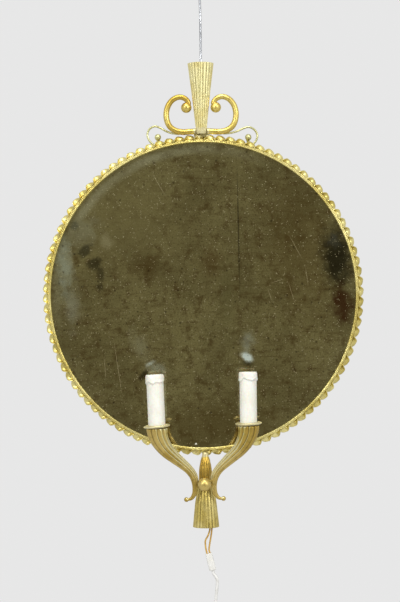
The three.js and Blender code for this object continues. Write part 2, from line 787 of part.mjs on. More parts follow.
function skirtGeometry() {
  const inner = [skirtFloor, skirtFloor - 14, skirtTopZ - 50, skirtBottomZ - 1];
  const back = strapFront + CLEARANCE;
  const seat = SPACER_RADIUS + CLEARANCE;
  const edge = 40;
  return cut(
    reeded(skirtStations, TASSEL_DEPTH, SKIRT_REEDS, REED_DEPTH),
    plainRound(inner.map((z) => [z, skirtRadius(z) - SKIRT_WALL]), TASSEL_DEPTH, 18),
    block(-edge, edge, back - edge, back, skirtBottomZ - 2, skirtTopZ + 1),
    rod(HUB_X, hubZ, seat, 0, NECK_REAR_DEPTH),
    rod(HUB_X, hubZ, seat, NECK_FRONT_DEPTH, ballDepth),
    rod(HUB_X, hubZ, STUD_RADIUS + CLEARANCE, 0, ballDepth),
  );
}

addPiece('tassel_skirt', skirtGeometry(), 'brass');

const budStations = [
  [budTopZ, 3.6],
  [budTopZ - 0.06 * BUD_HEIGHT, 5.7],
  [budTopZ - 0.25 * BUD_HEIGHT, 8.4],
  [budTopZ - 0.5 * BUD_HEIGHT, 10],
  [budTopZ - 0.75 * BUD_HEIGHT, 10.7],
  [budBottomZ, 10.8],
];
const budSeat = rod(HUB_X, hubZ, SPACER_RADIUS + CLEARANCE, 0, ballDepth);
addPiece('tassel_bud', cut(reeded(budStations, TASSEL_DEPTH, BUD_REEDS, REED_DEPTH), budSeat), 'goldBrass');

const outletHoles = [5.5, 9.7];
const outletTop = outletBottomZ + OUTLET_PLATE_THICKNESS;
const outletRadius = skirtRadius(outletTop) - SKIRT_WALL - 2 * CLEARANCE;
function outletGeometry() {
  const plate = plainRound([[outletTop, outletRadius], [outletBottomZ, outletRadius]], TASSEL_DEPTH, 18);
  const holes = outletHoles.map((x) => turnedUpright(
    [[0, outletBottomZ - 1], [LEAD_RADIUS + CLEARANCE, outletBottomZ - 1],
      [LEAD_RADIUS + CLEARANCE, outletTop + 1], [0, outletTop + 1]],
    x,
    TASSEL_DEPTH,
    12,
  ));
  return cut(plate, ...holes);
}
addPiece('outlet_plate', outletGeometry(), 'darkSteel');

// ---- stud, collar and ball --------------------------------------------------------------------
const studTip = ballDepth + 3;
const spacerBore = STUD_RADIUS + STUD_PLAY;

addPiece('centre_stud', turnedForward(countersunk(STUD_RADIUS, STRAP_HEAD_RADIUS + 1, studTip), HUB_X, hubZ), 'steel');
addPiece('stud_spacer', turnedForward(
  tubeProfile(spacerBore, SPACER_RADIUS, strapFront + CLEARANCE, NECK_REAR_DEPTH - CLEARANCE),
  HUB_X,
  hubZ,
), 'steel');
addPiece('arm_collar', turnedForward(
  tubeProfile(spacerBore, SPACER_RADIUS, collarBack, collarFront),
  HUB_X,
  hubZ,
), 'brass');

function ballGeometry() {
  const ball = new THREE.SphereGeometry(BALL_RADIUS, 18, 10);
  ball.translate(HUB_X, -ballDepth, hubZ);
  const reach = 2 * BALL_RADIUS;
  return cut(
    ball,
    block(HUB_X - reach, HUB_X + reach, ballBack - reach, ballBack, hubZ - reach, hubZ + reach),
    rod(HUB_X, hubZ, spacerBore, ballBack - 1, studTip + CLEARANCE),
  );
}
addPiece('centre_ball', ballGeometry(), 'brass');

// ---- horns ----------------------------------------------------------------------------------------
// Centre line of a horn from the ball's centre: [x, depth, z, radius], tail to mouth.
const armDepth = leftEyeBack;
const candleDepth = armDepth + HORN_FORWARD;
const hornLine = [
  [30.3, armDepth, -24.1, 2],
  [23.1, armDepth, -23.2, 2.6],
  [17.6, armDepth, -16.7, 3.7],
  [15, armDepth, -7, 4.8],
  [15, armDepth, 4.3, 5.9],
  [17.9, armDepth + 1.5, 15, 6.8],
  [24.4, armDepth + 5, 24.9, 7.3],
  [34.9, armDepth + 10, 35.6, 8.5],
  [46.1, armDepth + 16, 46.4, 10],
  [HORN_SPREAD - 14, candleDepth - 11, HORN_RISE - 37, 11.8],
  [HORN_SPREAD - 5.2, candleDepth - 5, HORN_RISE - 23, 14],
  [HORN_SPREAD - 0.8, candleDepth - 1, HORN_RISE - 10, 16],
  [HORN_SPREAD, candleDepth, HORN_RISE, HORN_MOUTH_RADIUS],
];

function hornRings(side, sides, reachAt, first, last) {
  const curve = new THREE.CatmullRomCurve3(hornLine.map(([x, d, z]) => at(side * x, d, z)), false, 'centripetal');
  const steps = hornLine.length - 1;
  const rings = [];
  for (let i = first; i <= last; i += 1) {
    const radius = hornLine[i][3];
    const centre = curve.getPoint(i / steps);
    const tangent = i === steps ? new THREE.Vector3(0, 0, 1) : curve.getTangent(i / steps);
    rings.push(sectionRing(centre, tangent, sides, (j) => reachAt(radius, j)));
  }
  return rings;
}

// The horn's fluted outside, grown by a gap.
function hornSkin(side, gap) {
  const reach = (radius, j) => gap + (j % 2 ? radius : FLUTE_SHARE * radius);
  return loft(hornRings(side, HORN_FLUTES * 2, reach, 0, hornLine.length - 1));
}

// The eye that the stud passes through, and its tab, which is brazed to the horn.
function eyeGeometry(side) {
  const back = side > 0 ? rightEyeBack : leftEyeBack;
  const start = Math.asin(EYE_NECK / EYE_RADIUS);
  const reach = hornLine[4][0];
  const shape = new THREE.Shape();
  shape.absarc(0, 0, EYE_RADIUS, start, 2 * Math.PI - start, false);
  shape.lineTo(reach, -EYE_NECK);
  shape.lineTo(reach, EYE_NECK);
  shape.closePath();
  const plate = wallPlate(shape, back, back + EYE_THICKNESS);
  if (side < 0) plate.scale(-1, 1, 1);
  return cut(
    plate,
    hornSkin(side, CLEARANCE),
    rod(0, 0, STUD_RADIUS + STUD_PLAY, back - 1, back + EYE_THICKNESS + 1),
  );
}

function hornGeometry(side) {
  const steps = hornLine.length - 1;
  const outer = hornSkin(side, 0);
  const tip = new THREE.SphereGeometry(HORN_TIP_RADIUS, 8, 5);
  const [tipX, tipDepth, tipZ] = hornLine[0];
  tip.translate(side * tipX, -tipDepth, tipZ);
  const bore = loft(hornRings(side, 8, (r) => HORN_BORE_SHARE * r, 4, steps - 1));
  return cut(
    join(outer, tip),
    bore,
    turnedUpright([
      [0, HORN_RISE - HORN_WEB - NIPPLE_ROOM],
      [NIPPLE_RADIUS + CLEARANCE, HORN_RISE - HORN_WEB - NIPPLE_ROOM],
      [NIPPLE_RADIUS + CLEARANCE, HORN_RISE + 1],
      [0, HORN_RISE + 1],
    ], side * HORN_SPREAD, candleDepth, 16),
    rod(side * hornLine[4][0], hornLine[4][2] + 2, HORN_WIRE_RADIUS + CLEARANCE, armDepth - 9, armDepth, 10),
  );
}

function hornWireGeometry(side) {
  const steps = hornLine.length - 1;
  const curve = new THREE.CatmullRomCurve3(hornLine.map(([x, d, z]) => at(side * x, d, z)), false, 'centripetal');
  const points = [];
  for (let i = steps - 2; i >= 5; i -= 1) {
    points.push(curve.getPoint(i / steps));
  }
  const outlet = hornLine[4];
  points.push(at(side * outlet[0], outlet[1] - 0.6, outlet[2] + 3));
  points.push(at(side * outlet[0], outlet[1] - 2.4, outlet[2] + 2));
  points.push(at(side * outlet[0], outlet[1] - 8, outlet[2] + 2));
  return wire(points, HORN_WIRE_RADIUS, 6);
}

// ---- candles ----------------------------------------------------------------------------------------
const sagOf = { left: -LEFT_SAG_DEG, right: RIGHT_SAG_DEG };
const tiltLift = PLATE_RADIUS * Math.sin(THREE.MathUtils.degToRad(PLATE_TILT_DEG));
const plateBottom = HORN_RISE + CLEARANCE + tiltLift;
const plateTop = plateBottom + PLATE_THICKNESS;
const holderBase = plateTop + CLEARANCE + tiltLift;
const holderTop = holderBase + HOLDER_HEIGHT;
const socketFloor = holderTop - SOCKET_HEIGHT + 3;
const nippleLow = HORN_RISE - HORN_WEB - NIPPLE_DIP;
const nippleHigh = nippleLow + NIPPLE_LENGTH;
const nippleHole = NIPPLE_RADIUS + CLEARANCE;

function dripPlateGeometry(side) {
  const hole = nippleHole + PLATE_THICKNESS * Math.sin(THREE.MathUtils.degToRad(PLATE_TILT_DEG));
  const rim = PLATE_RADIUS;
  const plate = turnedUpright([
    [hole, 0],
    [rim - 4, 0],
    [rim - 1.8, 0.9],
    [rim - 1.8, 1.7],
    [rim, 2.1],
    [rim, 4],
    [rim - 1.2, 5],
    [rim - 3.2, 4.8],
    [rim - 4.2, PLATE_THICKNESS],
    [hole, PLATE_THICKNESS],
    [hole, 0],
  ]);
  plate.rotateY(-THREE.MathUtils.degToRad(PLATE_TILT_DEG));
  plate.translate(side * HORN_SPREAD, -candleDepth, plateBottom);
  return plate;
}

function holderProfile() {
  const base = holderBase;
  const pocket = nippleHigh + 0.5;
  const channel = 2.6;
  return [
    [nippleHole, base],
    [9, base],
    [9, base + 3],
    [STEM_RADIUS, base + 5],
    [STEM_RADIUS, holderTop - SOCKET_HEIGHT - 5],
    [SOCKET_RADIUS, holderTop - SOCKET_HEIGHT],
    [SOCKET_RADIUS, holderTop],
    [SOCKET_BORE_RADIUS, holderTop],
    [SOCKET_BORE_RADIUS, socketFloor],
    [channel, socketFloor],
    [channel, pocket],
    [nippleHole, pocket],
    [nippleHole, base],
  ];
}

function sleeveProfile() {
  const base = holderBase;
  const inner = SLEEVE_RADIUS - SLEEVE_WALL;
  const top = base + SLEEVE_HEIGHT;
  return [
    [inner, base],
    [SLEEVE_RADIUS, base],
    [SLEEVE_RADIUS, top - DRIP_HEIGHT],
    [DRIP_RADIUS, top - DRIP_HEIGHT + 1.5],
    [DRIP_RADIUS, top - 4],
    [SLEEVE_RADIUS, top],
    [inner, top],
    [inner, base],
  ];
}

function addCandleArm(name, side) {
  const arm = new THREE.Group();
  arm.position.set(HUB_X, 0, hubZ);
  arm.rotation.y = THREE.MathUtils.degToRad(sagOf[name]);
  mirror.add(arm);
  const x = side * HORN_SPREAD;
  const shellOuter = SOCKET_BORE_RADIUS - CLEARANCE;
  addPiece(`arm_${name}`, hornGeometry(side), 'brass', arm);
  addPiece(`arm_eye_${name}`, eyeGeometry(side), 'brass', arm);
  addPiece(`arm_wire_${name}`, hornWireGeometry(side), 'wire', arm);
  addPiece(`drip_plate_${name}`, dripPlateGeometry(side), 'goldBrass', arm);
  addPiece(`nipple_${name}`, turnedUpright(
    tubeProfile(NIPPLE_BORE_RADIUS, NIPPLE_RADIUS, nippleLow, nippleHigh),
    x,
    candleDepth,
    16,
  ), 'steel', arm);
  addPiece(`lampholder_${name}`, turnedUpright(holderProfile(), x, candleDepth, 14), 'porcelain', arm);
  addPiece(`screw_shell_${name}`, turnedUpright(
    tubeProfile(shellOuter - SHELL_WALL, shellOuter, socketFloor + 2, holderTop - 1),
    x,
    candleDepth,
    14,
  ), 'brass', arm);
  addPiece(`centre_contact_${name}`, turnedUpright([
    [0, socketFloor + CLEARANCE],
    [5.5, socketFloor + CLEARANCE],
    [5.5, socketFloor + 1.2],
    [2.2, socketFloor + 1.8],
    [0, socketFloor + 2.4],
  ], x, candleDepth, 12), 'brass', arm);
  addPiece(`candle_sleeve_${name}`, turnedUpright(sleeveProfile(), x, candleDepth, 20), 'candle', arm);
}

addCandleArm('left', -1);
addCandleArm('right', 1);

// ---- leads and connector --------------------------------------------------------------------
// A point of the cord from x, depth and drop below the skirt's hem.
function hang(x, depth, drop) {
  return at(x, depth, skirtBottomZ - drop);
}

const connectorTop = hang(...CONNECTOR_TOP);
const connectorBottom = hang(...CONNECTOR_BOTTOM);
const down = connectorBottom.clone().sub(connectorTop).normalize();
const acrossBlock = new THREE.Vector3(-down.z, 0, down.x);

// A lead's last two points: square to the connector's top face, at an offset across it.
function leadEnd(offset) {
  const end = connectorTop.clone();
  end.addScaledVector(acrossBlock, offset);
  end.addScaledVector(down, -CLEARANCE);
  return [end.clone().addScaledVector(down, -5), end];
}

const leadTop = outletTop + 5;
const leadSpacing = 2.3;
const leftLead = [
  at(outletHoles[0], TASSEL_DEPTH, leadTop),
  at(outletHoles[0], TASSEL_DEPTH, outletBottomZ - 4),
  hang(6.2, 23.6, 2.4),
  hang(3.2, 24.6, 13.4),
  hang(-1.4, 24, 22.4),
  hang(-1.3, 22.6, 32.4),
  ...leadEnd(-leadSpacing),
];
const rightLead = [
  at(outletHoles[1], TASSEL_DEPTH, leadTop),
  at(outletHoles[1], TASSEL_DEPTH, outletBottomZ - 4),
  hang(9.4, 20.6, 2.4),
  hang(7.6, 20, 16.4),
  hang(5.4, 20.6, 28.4),
  ...leadEnd(leadSpacing),
];
addPiece('lead_left', cord(leftLead, LEAD_RADIUS, 16), 'wire');
addPiece('lead_right', cord(rightLead, LEAD_RADIUS, 15), 'wire');

function connectorGeometry() {
  const length = connectorTop.distanceTo(connectorBottom);
  const shape = new THREE.Shape();
  const w = CONNECTOR_WIDTH / 2;
  const d = CONNECTOR_DEPTH / 2;
  const corner = 2.5;
  shape.moveTo(-w + corner, -d);
  shape.lineTo(w - corner, -d);
  shape.absarc(w - corner, -d + corner, corner, -Math.PI / 2, 0, false);
  shape.absarc(w - corner, d - corner, corner, 0, Math.PI / 2, false);
  shape.absarc(-w + corner, d - corner, corner, Math.PI / 2, Math.PI, false);
  shape.absarc(-w + corner, -d + corner, corner, Math.PI, 1.5 * Math.PI, false);
  const geometry = new THREE.ExtrudeGeometry(shape, { depth: length, bevelEnabled: false, curveSegments: 3 });
  const turn = new THREE.Matrix4().makeBasis(acrossBlock, down.clone().cross(acrossBlock), down);
  geometry.applyMatrix4(turn);
  geometry.translate(connectorTop.x, connectorTop.y, connectorTop.z);
  return outward(geometry);
}
addPiece('connector_block', connectorGeometry(), 'white');

// ---- flex, coil, tie and plug ---------------------------------------------------------------
const coilOuter = COIL_MEAN_RADIUS + (COIL_LOOPS / 4) * COIL_PITCH;
const coilX = COIL_ENTRY_X - coilOuter;
const coilFrontDepth = COIL_REAR_DEPTH + COIL_PITCH;
const coilLead = 3 * FLEX_RADIUS;

// The loops spiral inward in the front layer and outward in the rear one. They climb from one
// layer to the other in the half turn where the spiral reverses.
function coilPoint(turn) {
  const inward = Math.min(turn, COIL_LOOPS - turn);
  const radius = coilOuter - COIL_PITCH * inward;
  const angle = 2 * Math.PI * turn;
  const climb = THREE.MathUtils.smoothstep(turn, COIL_LOOPS / 2 - 0.25, COIL_LOOPS / 2 + 0.25);
  const depth = THREE.MathUtils.lerp(coilFrontDepth, COIL_REAR_DEPTH, climb);
  return at(coilX + radius * Math.cos(angle), depth, coilZ - radius * Math.sin(angle));
}

function coilPoints() {
  const points = [at(COIL_ENTRY_X, coilFrontDepth, coilZ + coilLead)];
  for (let i = 0; i <= COIL_LOOPS * COIL_STEPS; i += 1) {
    points.push(coilPoint(i / COIL_STEPS));
  }
  points.push(at(COIL_ENTRY_X, COIL_REAR_DEPTH, coilZ - COIL_TAIL / 2));
  points.push(at(COIL_ENTRY_X, COIL_REAR_DEPTH, coilZ - COIL_TAIL));
  return points;
}

// Least gap between two turns, from points more than a third of a turn apart along the cord.
function leastGap() {
  const fine = 96;
  const points = [];
  for (let i = 0; i <= COIL_LOOPS * fine; i += 1) {
    points.push(coilPoint(i / fine));
  }
  let least = Infinity;
  for (let i = 0; i < points.length; i += 1) {
    for (let j = i + fine / 3; j < points.length; j += 1) {
      least = Math.min(least, points[i].distanceTo(points[j]));
    }
  }
  return least - 2 * FLEX_RADIUS;
}
console.log(`least gap between the coil's turns: ${leastGap().toFixed(2)} mm`);

addPiece('flex', cord([
  connectorBottom.clone().addScaledVector(down, CLEARANCE),
  connectorBottom.clone().addScaledVector(down, 6),
  hang(16, 21.6, 83.4),
  hang(17.1, 20.8, 89.4),
  hang(15.8, 19, 104.4),
  hang(COIL_ENTRY_X, 16.6, 123.4),
  at(COIL_ENTRY_X, coilFrontDepth, coilZ + coilLead + 14),
  at(COIL_ENTRY_X, coilFrontDepth, coilZ + coilLead + CLEARANCE),
], FLEX_RADIUS, 14), 'white');
addPiece('flex_coil', wire(coilPoints(), FLEX_RADIUS, 6), 'white');

// A band round the bundle, on the side away from the cord's ends.
function tieGeometry() {
  const play = 0.5;
  const innerRadius = coilOuter - (COIL_LOOPS / 2) * COIL_PITCH - FLEX_RADIUS - play;
  const outerRadius = coilOuter - 0.5 * COIL_PITCH + FLEX_RADIUS + play;
  const back = COIL_REAR_DEPTH - FLEX_RADIUS - play;
  const front = coilFrontDepth + FLEX_RADIUS + play;
  const t = TIE_THICKNESS;
  const low = coilZ - TIE_HEIGHT / 2;
  const high = coilZ + TIE_HEIGHT / 2;
  return cut(
    block(coilX - outerRadius - t, coilX - innerRadius + t, back - t, front + t, low, high),
    block(coilX - outerRadius, coilX - innerRadius, back, front, low - 1, high + 1),
  );
}
addPiece('coil_tie', tieGeometry(), 'white');

const plugTop = coilZ - COIL_TAIL - CLEARANCE;
const plugBottom = plugTop - PLUG_LENGTH;
function plugGeometry() {
  const shape = new THREE.Shape();
  const half = PLUG_WIDTH / 2;
  const neck = 5;
  shape.moveTo(-neck, plugTop);
  shape.lineTo(neck, plugTop);
  shape.lineTo(neck + 1, plugTop - 8);
  shape.lineTo(half, plugTop - 18);
  shape.lineTo(half, plugBottom);
  shape.lineTo(-half, plugBottom);
  shape.lineTo(-half, plugTop - 18);
  shape.lineTo(-neck - 1, plugTop - 8);
  shape.closePath();
  const plate = wallPlate(
    shape,
    COIL_REAR_DEPTH - PLUG_THICKNESS / 2,
    COIL_REAR_DEPTH + PLUG_THICKNESS / 2,
  );
  plate.translate(COIL_ENTRY_X, 0, 0);
  return plate;
}
addPiece('plug_body', plugGeometry(), 'white');
for (const [number, side] of [[1, -1], [2, 1]]) {
  addPiece(`plug_pin_${number}`, turnedUpright([
    [0, plugBottom - CLEARANCE],
    [PLUG_PIN_RADIUS, plugBottom - CLEARANCE],
    [PLUG_PIN_RADIUS, plugBottom - PLUG_PIN_LENGTH + 1],
    [PLUG_PIN_RADIUS / 2, plugBottom - PLUG_PIN_LENGTH],
    [0, plugBottom - PLUG_PIN_LENGTH],
  ], COIL_ENTRY_X + side * PLUG_PIN_SPACING / 2, COIL_REAR_DEPTH, 12), 'steel');
}

export default mirror;
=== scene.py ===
# %% [markdown]
# # A girandole mirror in aged brass
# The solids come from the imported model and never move. This lesson lays the visible surfaces over
# them: the twisted edge, the fluted castings, the old glass, the candles and the cord. Everything is
# in metres in one shared frame. The wall is the plane y = 0, the front faces -Y, +X is to the right
# and z is up. Lengths below are written in millimetres, as on a drawing, and become metres in `put`.

# %% Load the fixed frame
import bpy
import json
import math
import numpy as np
from mathutils import Matrix, Vector

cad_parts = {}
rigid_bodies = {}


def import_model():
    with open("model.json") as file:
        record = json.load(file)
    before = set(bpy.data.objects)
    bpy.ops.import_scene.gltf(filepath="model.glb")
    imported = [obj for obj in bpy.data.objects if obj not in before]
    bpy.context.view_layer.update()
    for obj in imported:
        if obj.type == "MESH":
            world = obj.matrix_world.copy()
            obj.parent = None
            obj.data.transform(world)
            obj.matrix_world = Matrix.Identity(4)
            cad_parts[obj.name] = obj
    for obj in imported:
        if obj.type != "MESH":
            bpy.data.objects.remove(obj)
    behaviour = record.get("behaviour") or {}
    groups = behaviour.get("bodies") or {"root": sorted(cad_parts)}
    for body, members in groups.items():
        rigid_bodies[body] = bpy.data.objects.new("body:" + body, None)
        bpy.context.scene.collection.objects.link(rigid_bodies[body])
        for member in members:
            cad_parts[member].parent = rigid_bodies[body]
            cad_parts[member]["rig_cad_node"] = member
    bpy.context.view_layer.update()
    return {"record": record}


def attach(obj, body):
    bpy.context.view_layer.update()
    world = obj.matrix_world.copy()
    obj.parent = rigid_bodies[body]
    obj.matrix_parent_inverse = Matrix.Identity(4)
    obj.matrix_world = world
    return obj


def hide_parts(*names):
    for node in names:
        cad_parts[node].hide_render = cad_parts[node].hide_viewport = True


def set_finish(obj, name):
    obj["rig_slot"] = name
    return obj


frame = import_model()
MM = 0.001
SIDES = (("left", -1), ("right", 1))
slot_of = {row["node"]: row["material_slot"] for row in frame["record"]["subparts"]}
body_of = {node: body for body, nodes in frame["record"]["behaviour"]["bodies"].items() for node in nodes}

# %% [markdown]
# ## Camera
# The photograph looks straight at the mirror from about 2.6 m, a little below its middle, and its
# whole picture leans by about 0.7 degrees. One pixel is 1.625 mm at the glass, so the lens follows
# from the distance: sensor height times distance over the height that the picture covers.

# %% The camera of the photograph
PICTURE_ROWS = 602
PIXEL = 1.625 * MM
CAMERA_DISTANCE = 2.6
CAMERA_AIM = (-5.5, -9.9)
CAMERA_ROLL = -0.0122
SENSOR = 36.0
GLASS_DEPTH = 15


def in_scene(name, data):
    """A new object, linked to the scene."""
    made = bpy.data.objects.new(name, data)
    bpy.context.scene.collection.objects.link(made)
    return made


covered = PICTURE_ROWS * PIXEL
lens_data = bpy.data.cameras.new("studio_camera")
lens_data.sensor_width = SENSOR
lens_data.lens = SENSOR * (CAMERA_DISTANCE - GLASS_DEPTH * MM) / covered
camera = in_scene("studio_camera", lens_data)
camera.matrix_world = (
    Matrix.Translation((CAMERA_AIM[0] * MM, -CAMERA_DISTANCE, CAMERA_AIM[1] * MM))
    @ Matrix.Rotation(math.pi / 2, 4, "X")
    @ Matrix.Rotation(CAMERA_ROLL, 4, "Z")
)
bpy.context.scene.camera = camera
print("lens", round(lens_data.lens, 1), "mm")

# %% [markdown]
# ## Lines through points
# Cords, scrolls, tendrils and horns all follow a smooth line through a few points. On each stretch
# the line is a cubic whose slopes at the ends come from the neighbouring points, weighted by the
# square roots of the gaps, so it never loops where points lie close together.

# %% A smooth line
def through(points, per=8):
    """Cubic stretches through the points, `per` steps each. Columns after the third, such as a
    radius, follow the same weights."""
    p = np.asarray(points, float)
    p = np.vstack([2 * p[0] - p[1], p, 2 * p[-1] - p[-2]])
    gap = np.sqrt(np.linalg.norm(np.diff(p[:, :3], axis=0), axis=1))[:, None]
    a, b, c = gap[:-2], gap[1:-1], gap[2:]
    p0, p1, p2, p3 = p[:-3], p[1:-2], p[2:-1], p[3:]
    slope1 = ((p1 - p0) / a - (p2 - p0) / (a + b) + (p2 - p1) / b) * b
    slope2 = ((p2 - p1) / b - (p3 - p1) / (b + c) + (p3 - p2) / c) * b
    u = np.linspace(0, 1, per, endpoint=False)[None, :, None]
    p1, p2, slope1, slope2 = (v[:, None, :] for v in (p1, p2, slope1, slope2))
    line = p1 * (2 * u**3 - 3 * u**2 + 1) + slope1 * (u**3 - 2 * u**2 + u)
    line = line + p2 * (3 * u**2 - 2 * u**3) + slope2 * (u**3 - u**2)
    return np.vstack([line.reshape(-1, p.shape[1]), p[-2]])


def spot(x, depth, z):
    """A point from x, depth in front of the wall and height, in millimetres."""
    return (x, -depth, z)


def run_length(line):
    """Length of a line: the sum of the distances between its points."""
    return float(np.linalg.norm(np.diff(np.asarray(line)[:, :3], axis=0), axis=1).sum())


# %% [markdown]
# ## Surfaces from numbers
# Each shape is a grid of points: rows along the piece, columns round it. Whole arrays are computed at
# once, faces join neighbouring rows and columns, and the sign of the volume tells whether the faces
# look outward. A second number at each point, `hollow`, says how deep it lies in a groove, and the
# metal's patina gathers there later.

# %% Grid, caps and mesh
def grid_faces(rows, cols, ring):
    """Four corners for each cell of a grid whose last column joins the first. With ring, the last
    row joins the first as well."""
    r = np.arange(rows if ring else rows - 1)[:, None]
    c = np.arange(cols)[None, :]
    below = (r + 1) % rows
    right = (c + 1) % cols
    return np.stack([r * cols + c, r * cols + right, below * cols + right, below * cols + c],
                    -1).reshape(-1, 4)


def signed_volume(points, faces):
    """Sum over the faces of the volume that each spans with the origin."""
    total = 0.0
    for a, b, c in ((0, 1, 2), (0, 2, 3)):
        if max(a, b, c) < faces.shape[1]:
            v = [points[faces[:, k]] for k in (a, b, c)]
            total += float(np.einsum("ij,ij->i", v[0], np.cross(v[1], v[2])).sum()) / 6
    return total


def skin(rows, ring):
    """Points and faces of rows of equal length, shape (n, m, 3). In a ring the last row joins the
    first, otherwise a fan closes each end."""
    count, sides = rows.shape[:2]
    quads = grid_faces(count, sides, ring)
    if ring:
        return rows.reshape(-1, 3), [quads]
    points = np.vstack([rows.reshape(-1, 3), rows[0].mean(0), rows[-1].mean(0)])
    k = np.arange(sides)
    after = (k + 1) % sides
    first = np.column_stack([after, k, np.full(sides, count * sides)])
    base = (count - 1) * sides
    last = np.column_stack([base + k, base + after, np.full(sides, count * sides + 1)])
    return points, [quads, first, last]


def put(name, rows, ring=False, nodes=(), hollow=None, sharp=38):
    """Makes the mesh of some rows, closed by caps or into a ring, in metres and turned outward. With
    nodes it is settled, without it is a tool or a blank that is cut first."""
    points, parts = skin(rows, ring)
    volume = sum(signed_volume(points, part) for part in parts)
    faces = [tuple(face) for part in parts for face in part]
    if volume < 0:
        faces = [f[::-1] for f in faces]
    mesh = bpy.data.meshes.new(name)
    mesh.from_pydata((points * MM).tolist(), [], faces)
    layer = mesh.attributes.new("hollow", "FLOAT", "POINT")
    values = np.zeros(len(points), np.float32)
    if hollow is not None:
        values[: hollow.size] = np.clip(hollow, 0, 1).ravel()
    layer.data.foreach_set("value", values)
    mesh.update()
    made = in_scene(name, mesh)
    if nodes:
        settle(made, nodes, sharp)
    return made


def settle(made, nodes, sharp=38):
    """Smooth faces with sharp edges kept crisp. The piece stands for its CAD nodes, rides on their
    body and wears their material."""
    made.data.shade_smooth()
    made.data.set_sharp_from_angle(angle=math.radians(sharp))
    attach(made, body_of[nodes[0]])
    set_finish(made, slot_of[nodes[0]])
    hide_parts(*nodes)
    print(f"{made.name}: {len(made.data.polygons)} faces on {body_of[nodes[0]]}")


# %% Turned shapes, tubes and places
def round_angles(steps):
    """A full circle's angles as one row."""
    return np.linspace(0, 2 * np.pi, steps, endpoint=False)[None, :]


def turned_rows(profile, steps, centre, upright=True, bite=0):
    """A profile of radius and height, carried round an axis. Upright: x = centre + r sin, depth =
    centre + r cos, z = height. Otherwise the axis is the wall's normal and height is depth. bite
    is taken off the radius, and may differ at each row and angle."""
    profile = np.asarray(profile, float)
    angle = round_angles(steps)
    height = np.broadcast_to(profile[:, 1:2], (len(profile), steps))
    radius = np.broadcast_to(profile[:, :1] - bite, height.shape)
    if upright:
        return np.stack([centre[0] + radius * np.sin(angle), -(centre[1] + radius * np.cos(angle)),
                         height], -1)
    return np.stack([centre[0] + radius * np.cos(angle), -height, centre[1] + radius * np.sin(angle)], -1)


def turned(name, profile, centre, steps=64, upright=True, place=None, **more):
    """A turned piece. A profile that ends where it starts is a ring, any other is closed by caps."""
    profile = np.asarray(profile, float)
    ring = bool(np.allclose(profile[0], profile[-1]))
    rows = turned_rows(profile[:-1] if ring else profile, steps, centre, upright)
    if place:
        rows = place(rows)
    return put(name, rows, ring, **more)


def tube_rows(line, reach, sides, last_up=0):
    """A section carried along a line that keeps close to the wall's plane. reach is the radius, one
    for all or one for each row and angle from the front. The last rows may turn upright."""
    line = np.asarray(line, float)[:, :3]
    tangent = np.gradient(line, axis=0)
    tangent /= np.linalg.norm(tangent, axis=1)[:, None]
    if last_up:
        share = np.clip((np.arange(len(line)) - len(line) + 1 + last_up) / last_up, 0, 1)[:, None]
        tangent = tangent * (1 - share) + np.array([0, 0, 1.0]) * share
        tangent /= np.linalg.norm(tangent, axis=1)[:, None]
    across = np.cross(np.array([0, -1.0, 0]), tangent)
    across /= np.linalg.norm(across, axis=1)[:, None]
    forward = np.cross(tangent, across)
    angle = round_angles(sides)[..., None]
    radius = np.broadcast_to(reach, (len(line), sides))[..., None]
    round_part = forward[:, None] * np.cos(angle) + across[:, None] * np.sin(angle)
    return line[:, None] + radius * round_part


def placed(origin, *axes):
    """A way to place points: their three numbers run along these axes from the origin."""
    return lambda rows: np.array(origin) + rows @ np.array(axes)


def spun(degrees, origin):
    """Turns points about the wall's normal, then moves them to an origin."""
    c, s = math.cos(math.radians(degrees)), math.sin(math.radians(degrees))
    return placed(origin, (c, 0, -s), (0, 1, 0), (s, 0, c))


# %% Cutting with solids
def carve(made, tools, nodes, mode="DIFFERENCE", sharp=38):
    """Cuts the tools from a blank, or joins them to it, bakes the result into its mesh and settles
    it."""
    for tool in tools:
        step = made.modifiers.new("cut", "BOOLEAN")
        step.operation = mode
        step.solver = "EXACT"
        step.object = tool
    bpy.context.view_layer.update()
    seen = made.evaluated_get(bpy.context.evaluated_depsgraph_get())
    mesh = bpy.data.meshes.new_from_object(seen)
    made.modifiers.clear()
    made.data = mesh
    for tool in tools:
        bpy.data.objects.remove(tool)
    settle(made, nodes, sharp)


def box_tool(x, depth, z):
    """A block from its limits in x, depth and z."""
    corners = np.array([(a, -b, c) for c in z for a, b in
                        ((x[0], depth[0]), (x[1], depth[0]), (x[1], depth[1]), (x[0], depth[1]))])
    return put("tool", corners.reshape(2, 4, 3))


# %% [markdown]
# ## The cord
# Two thin leads come out of the tassel, meet in a white connector, and a white flex hangs on down.
# The picture cuts the flex off, so the rest of its length hangs below the view in a tied coil with
# the plug under it. A cord is a round tube along its centreline, and the same points say how long it is.

# %% Where the cord runs
LEAD_DIAMETER = 2.8
FLEX_DIAMETER = 5.0
HEM_Z = -375.6
CONNECTOR_TOP = np.array(spot(3.3, 22, HEM_Z - 43.4))
CONNECTOR_BOTTOM = np.array(spot(10, 22, HEM_Z - 70.4))
CONNECTOR_DOWN = (CONNECTOR_BOTTOM - CONNECTOR_TOP) / np.linalg.norm(CONNECTOR_BOTTOM - CONNECTOR_TOP)
CONNECTOR_ACROSS = np.array([-CONNECTOR_DOWN[2], 0, CONNECTOR_DOWN[0]])
COIL_TURNS, COIL_PITCH, COIL_STEPS = 6, 5.6, 72
COIL_OUTER = 30 + COIL_TURNS / 4 * COIL_PITCH
COIL_Z = HEM_Z - 174.4
ENTRY_X, REAR, FRONT = 14.0, 10.4, 16.0


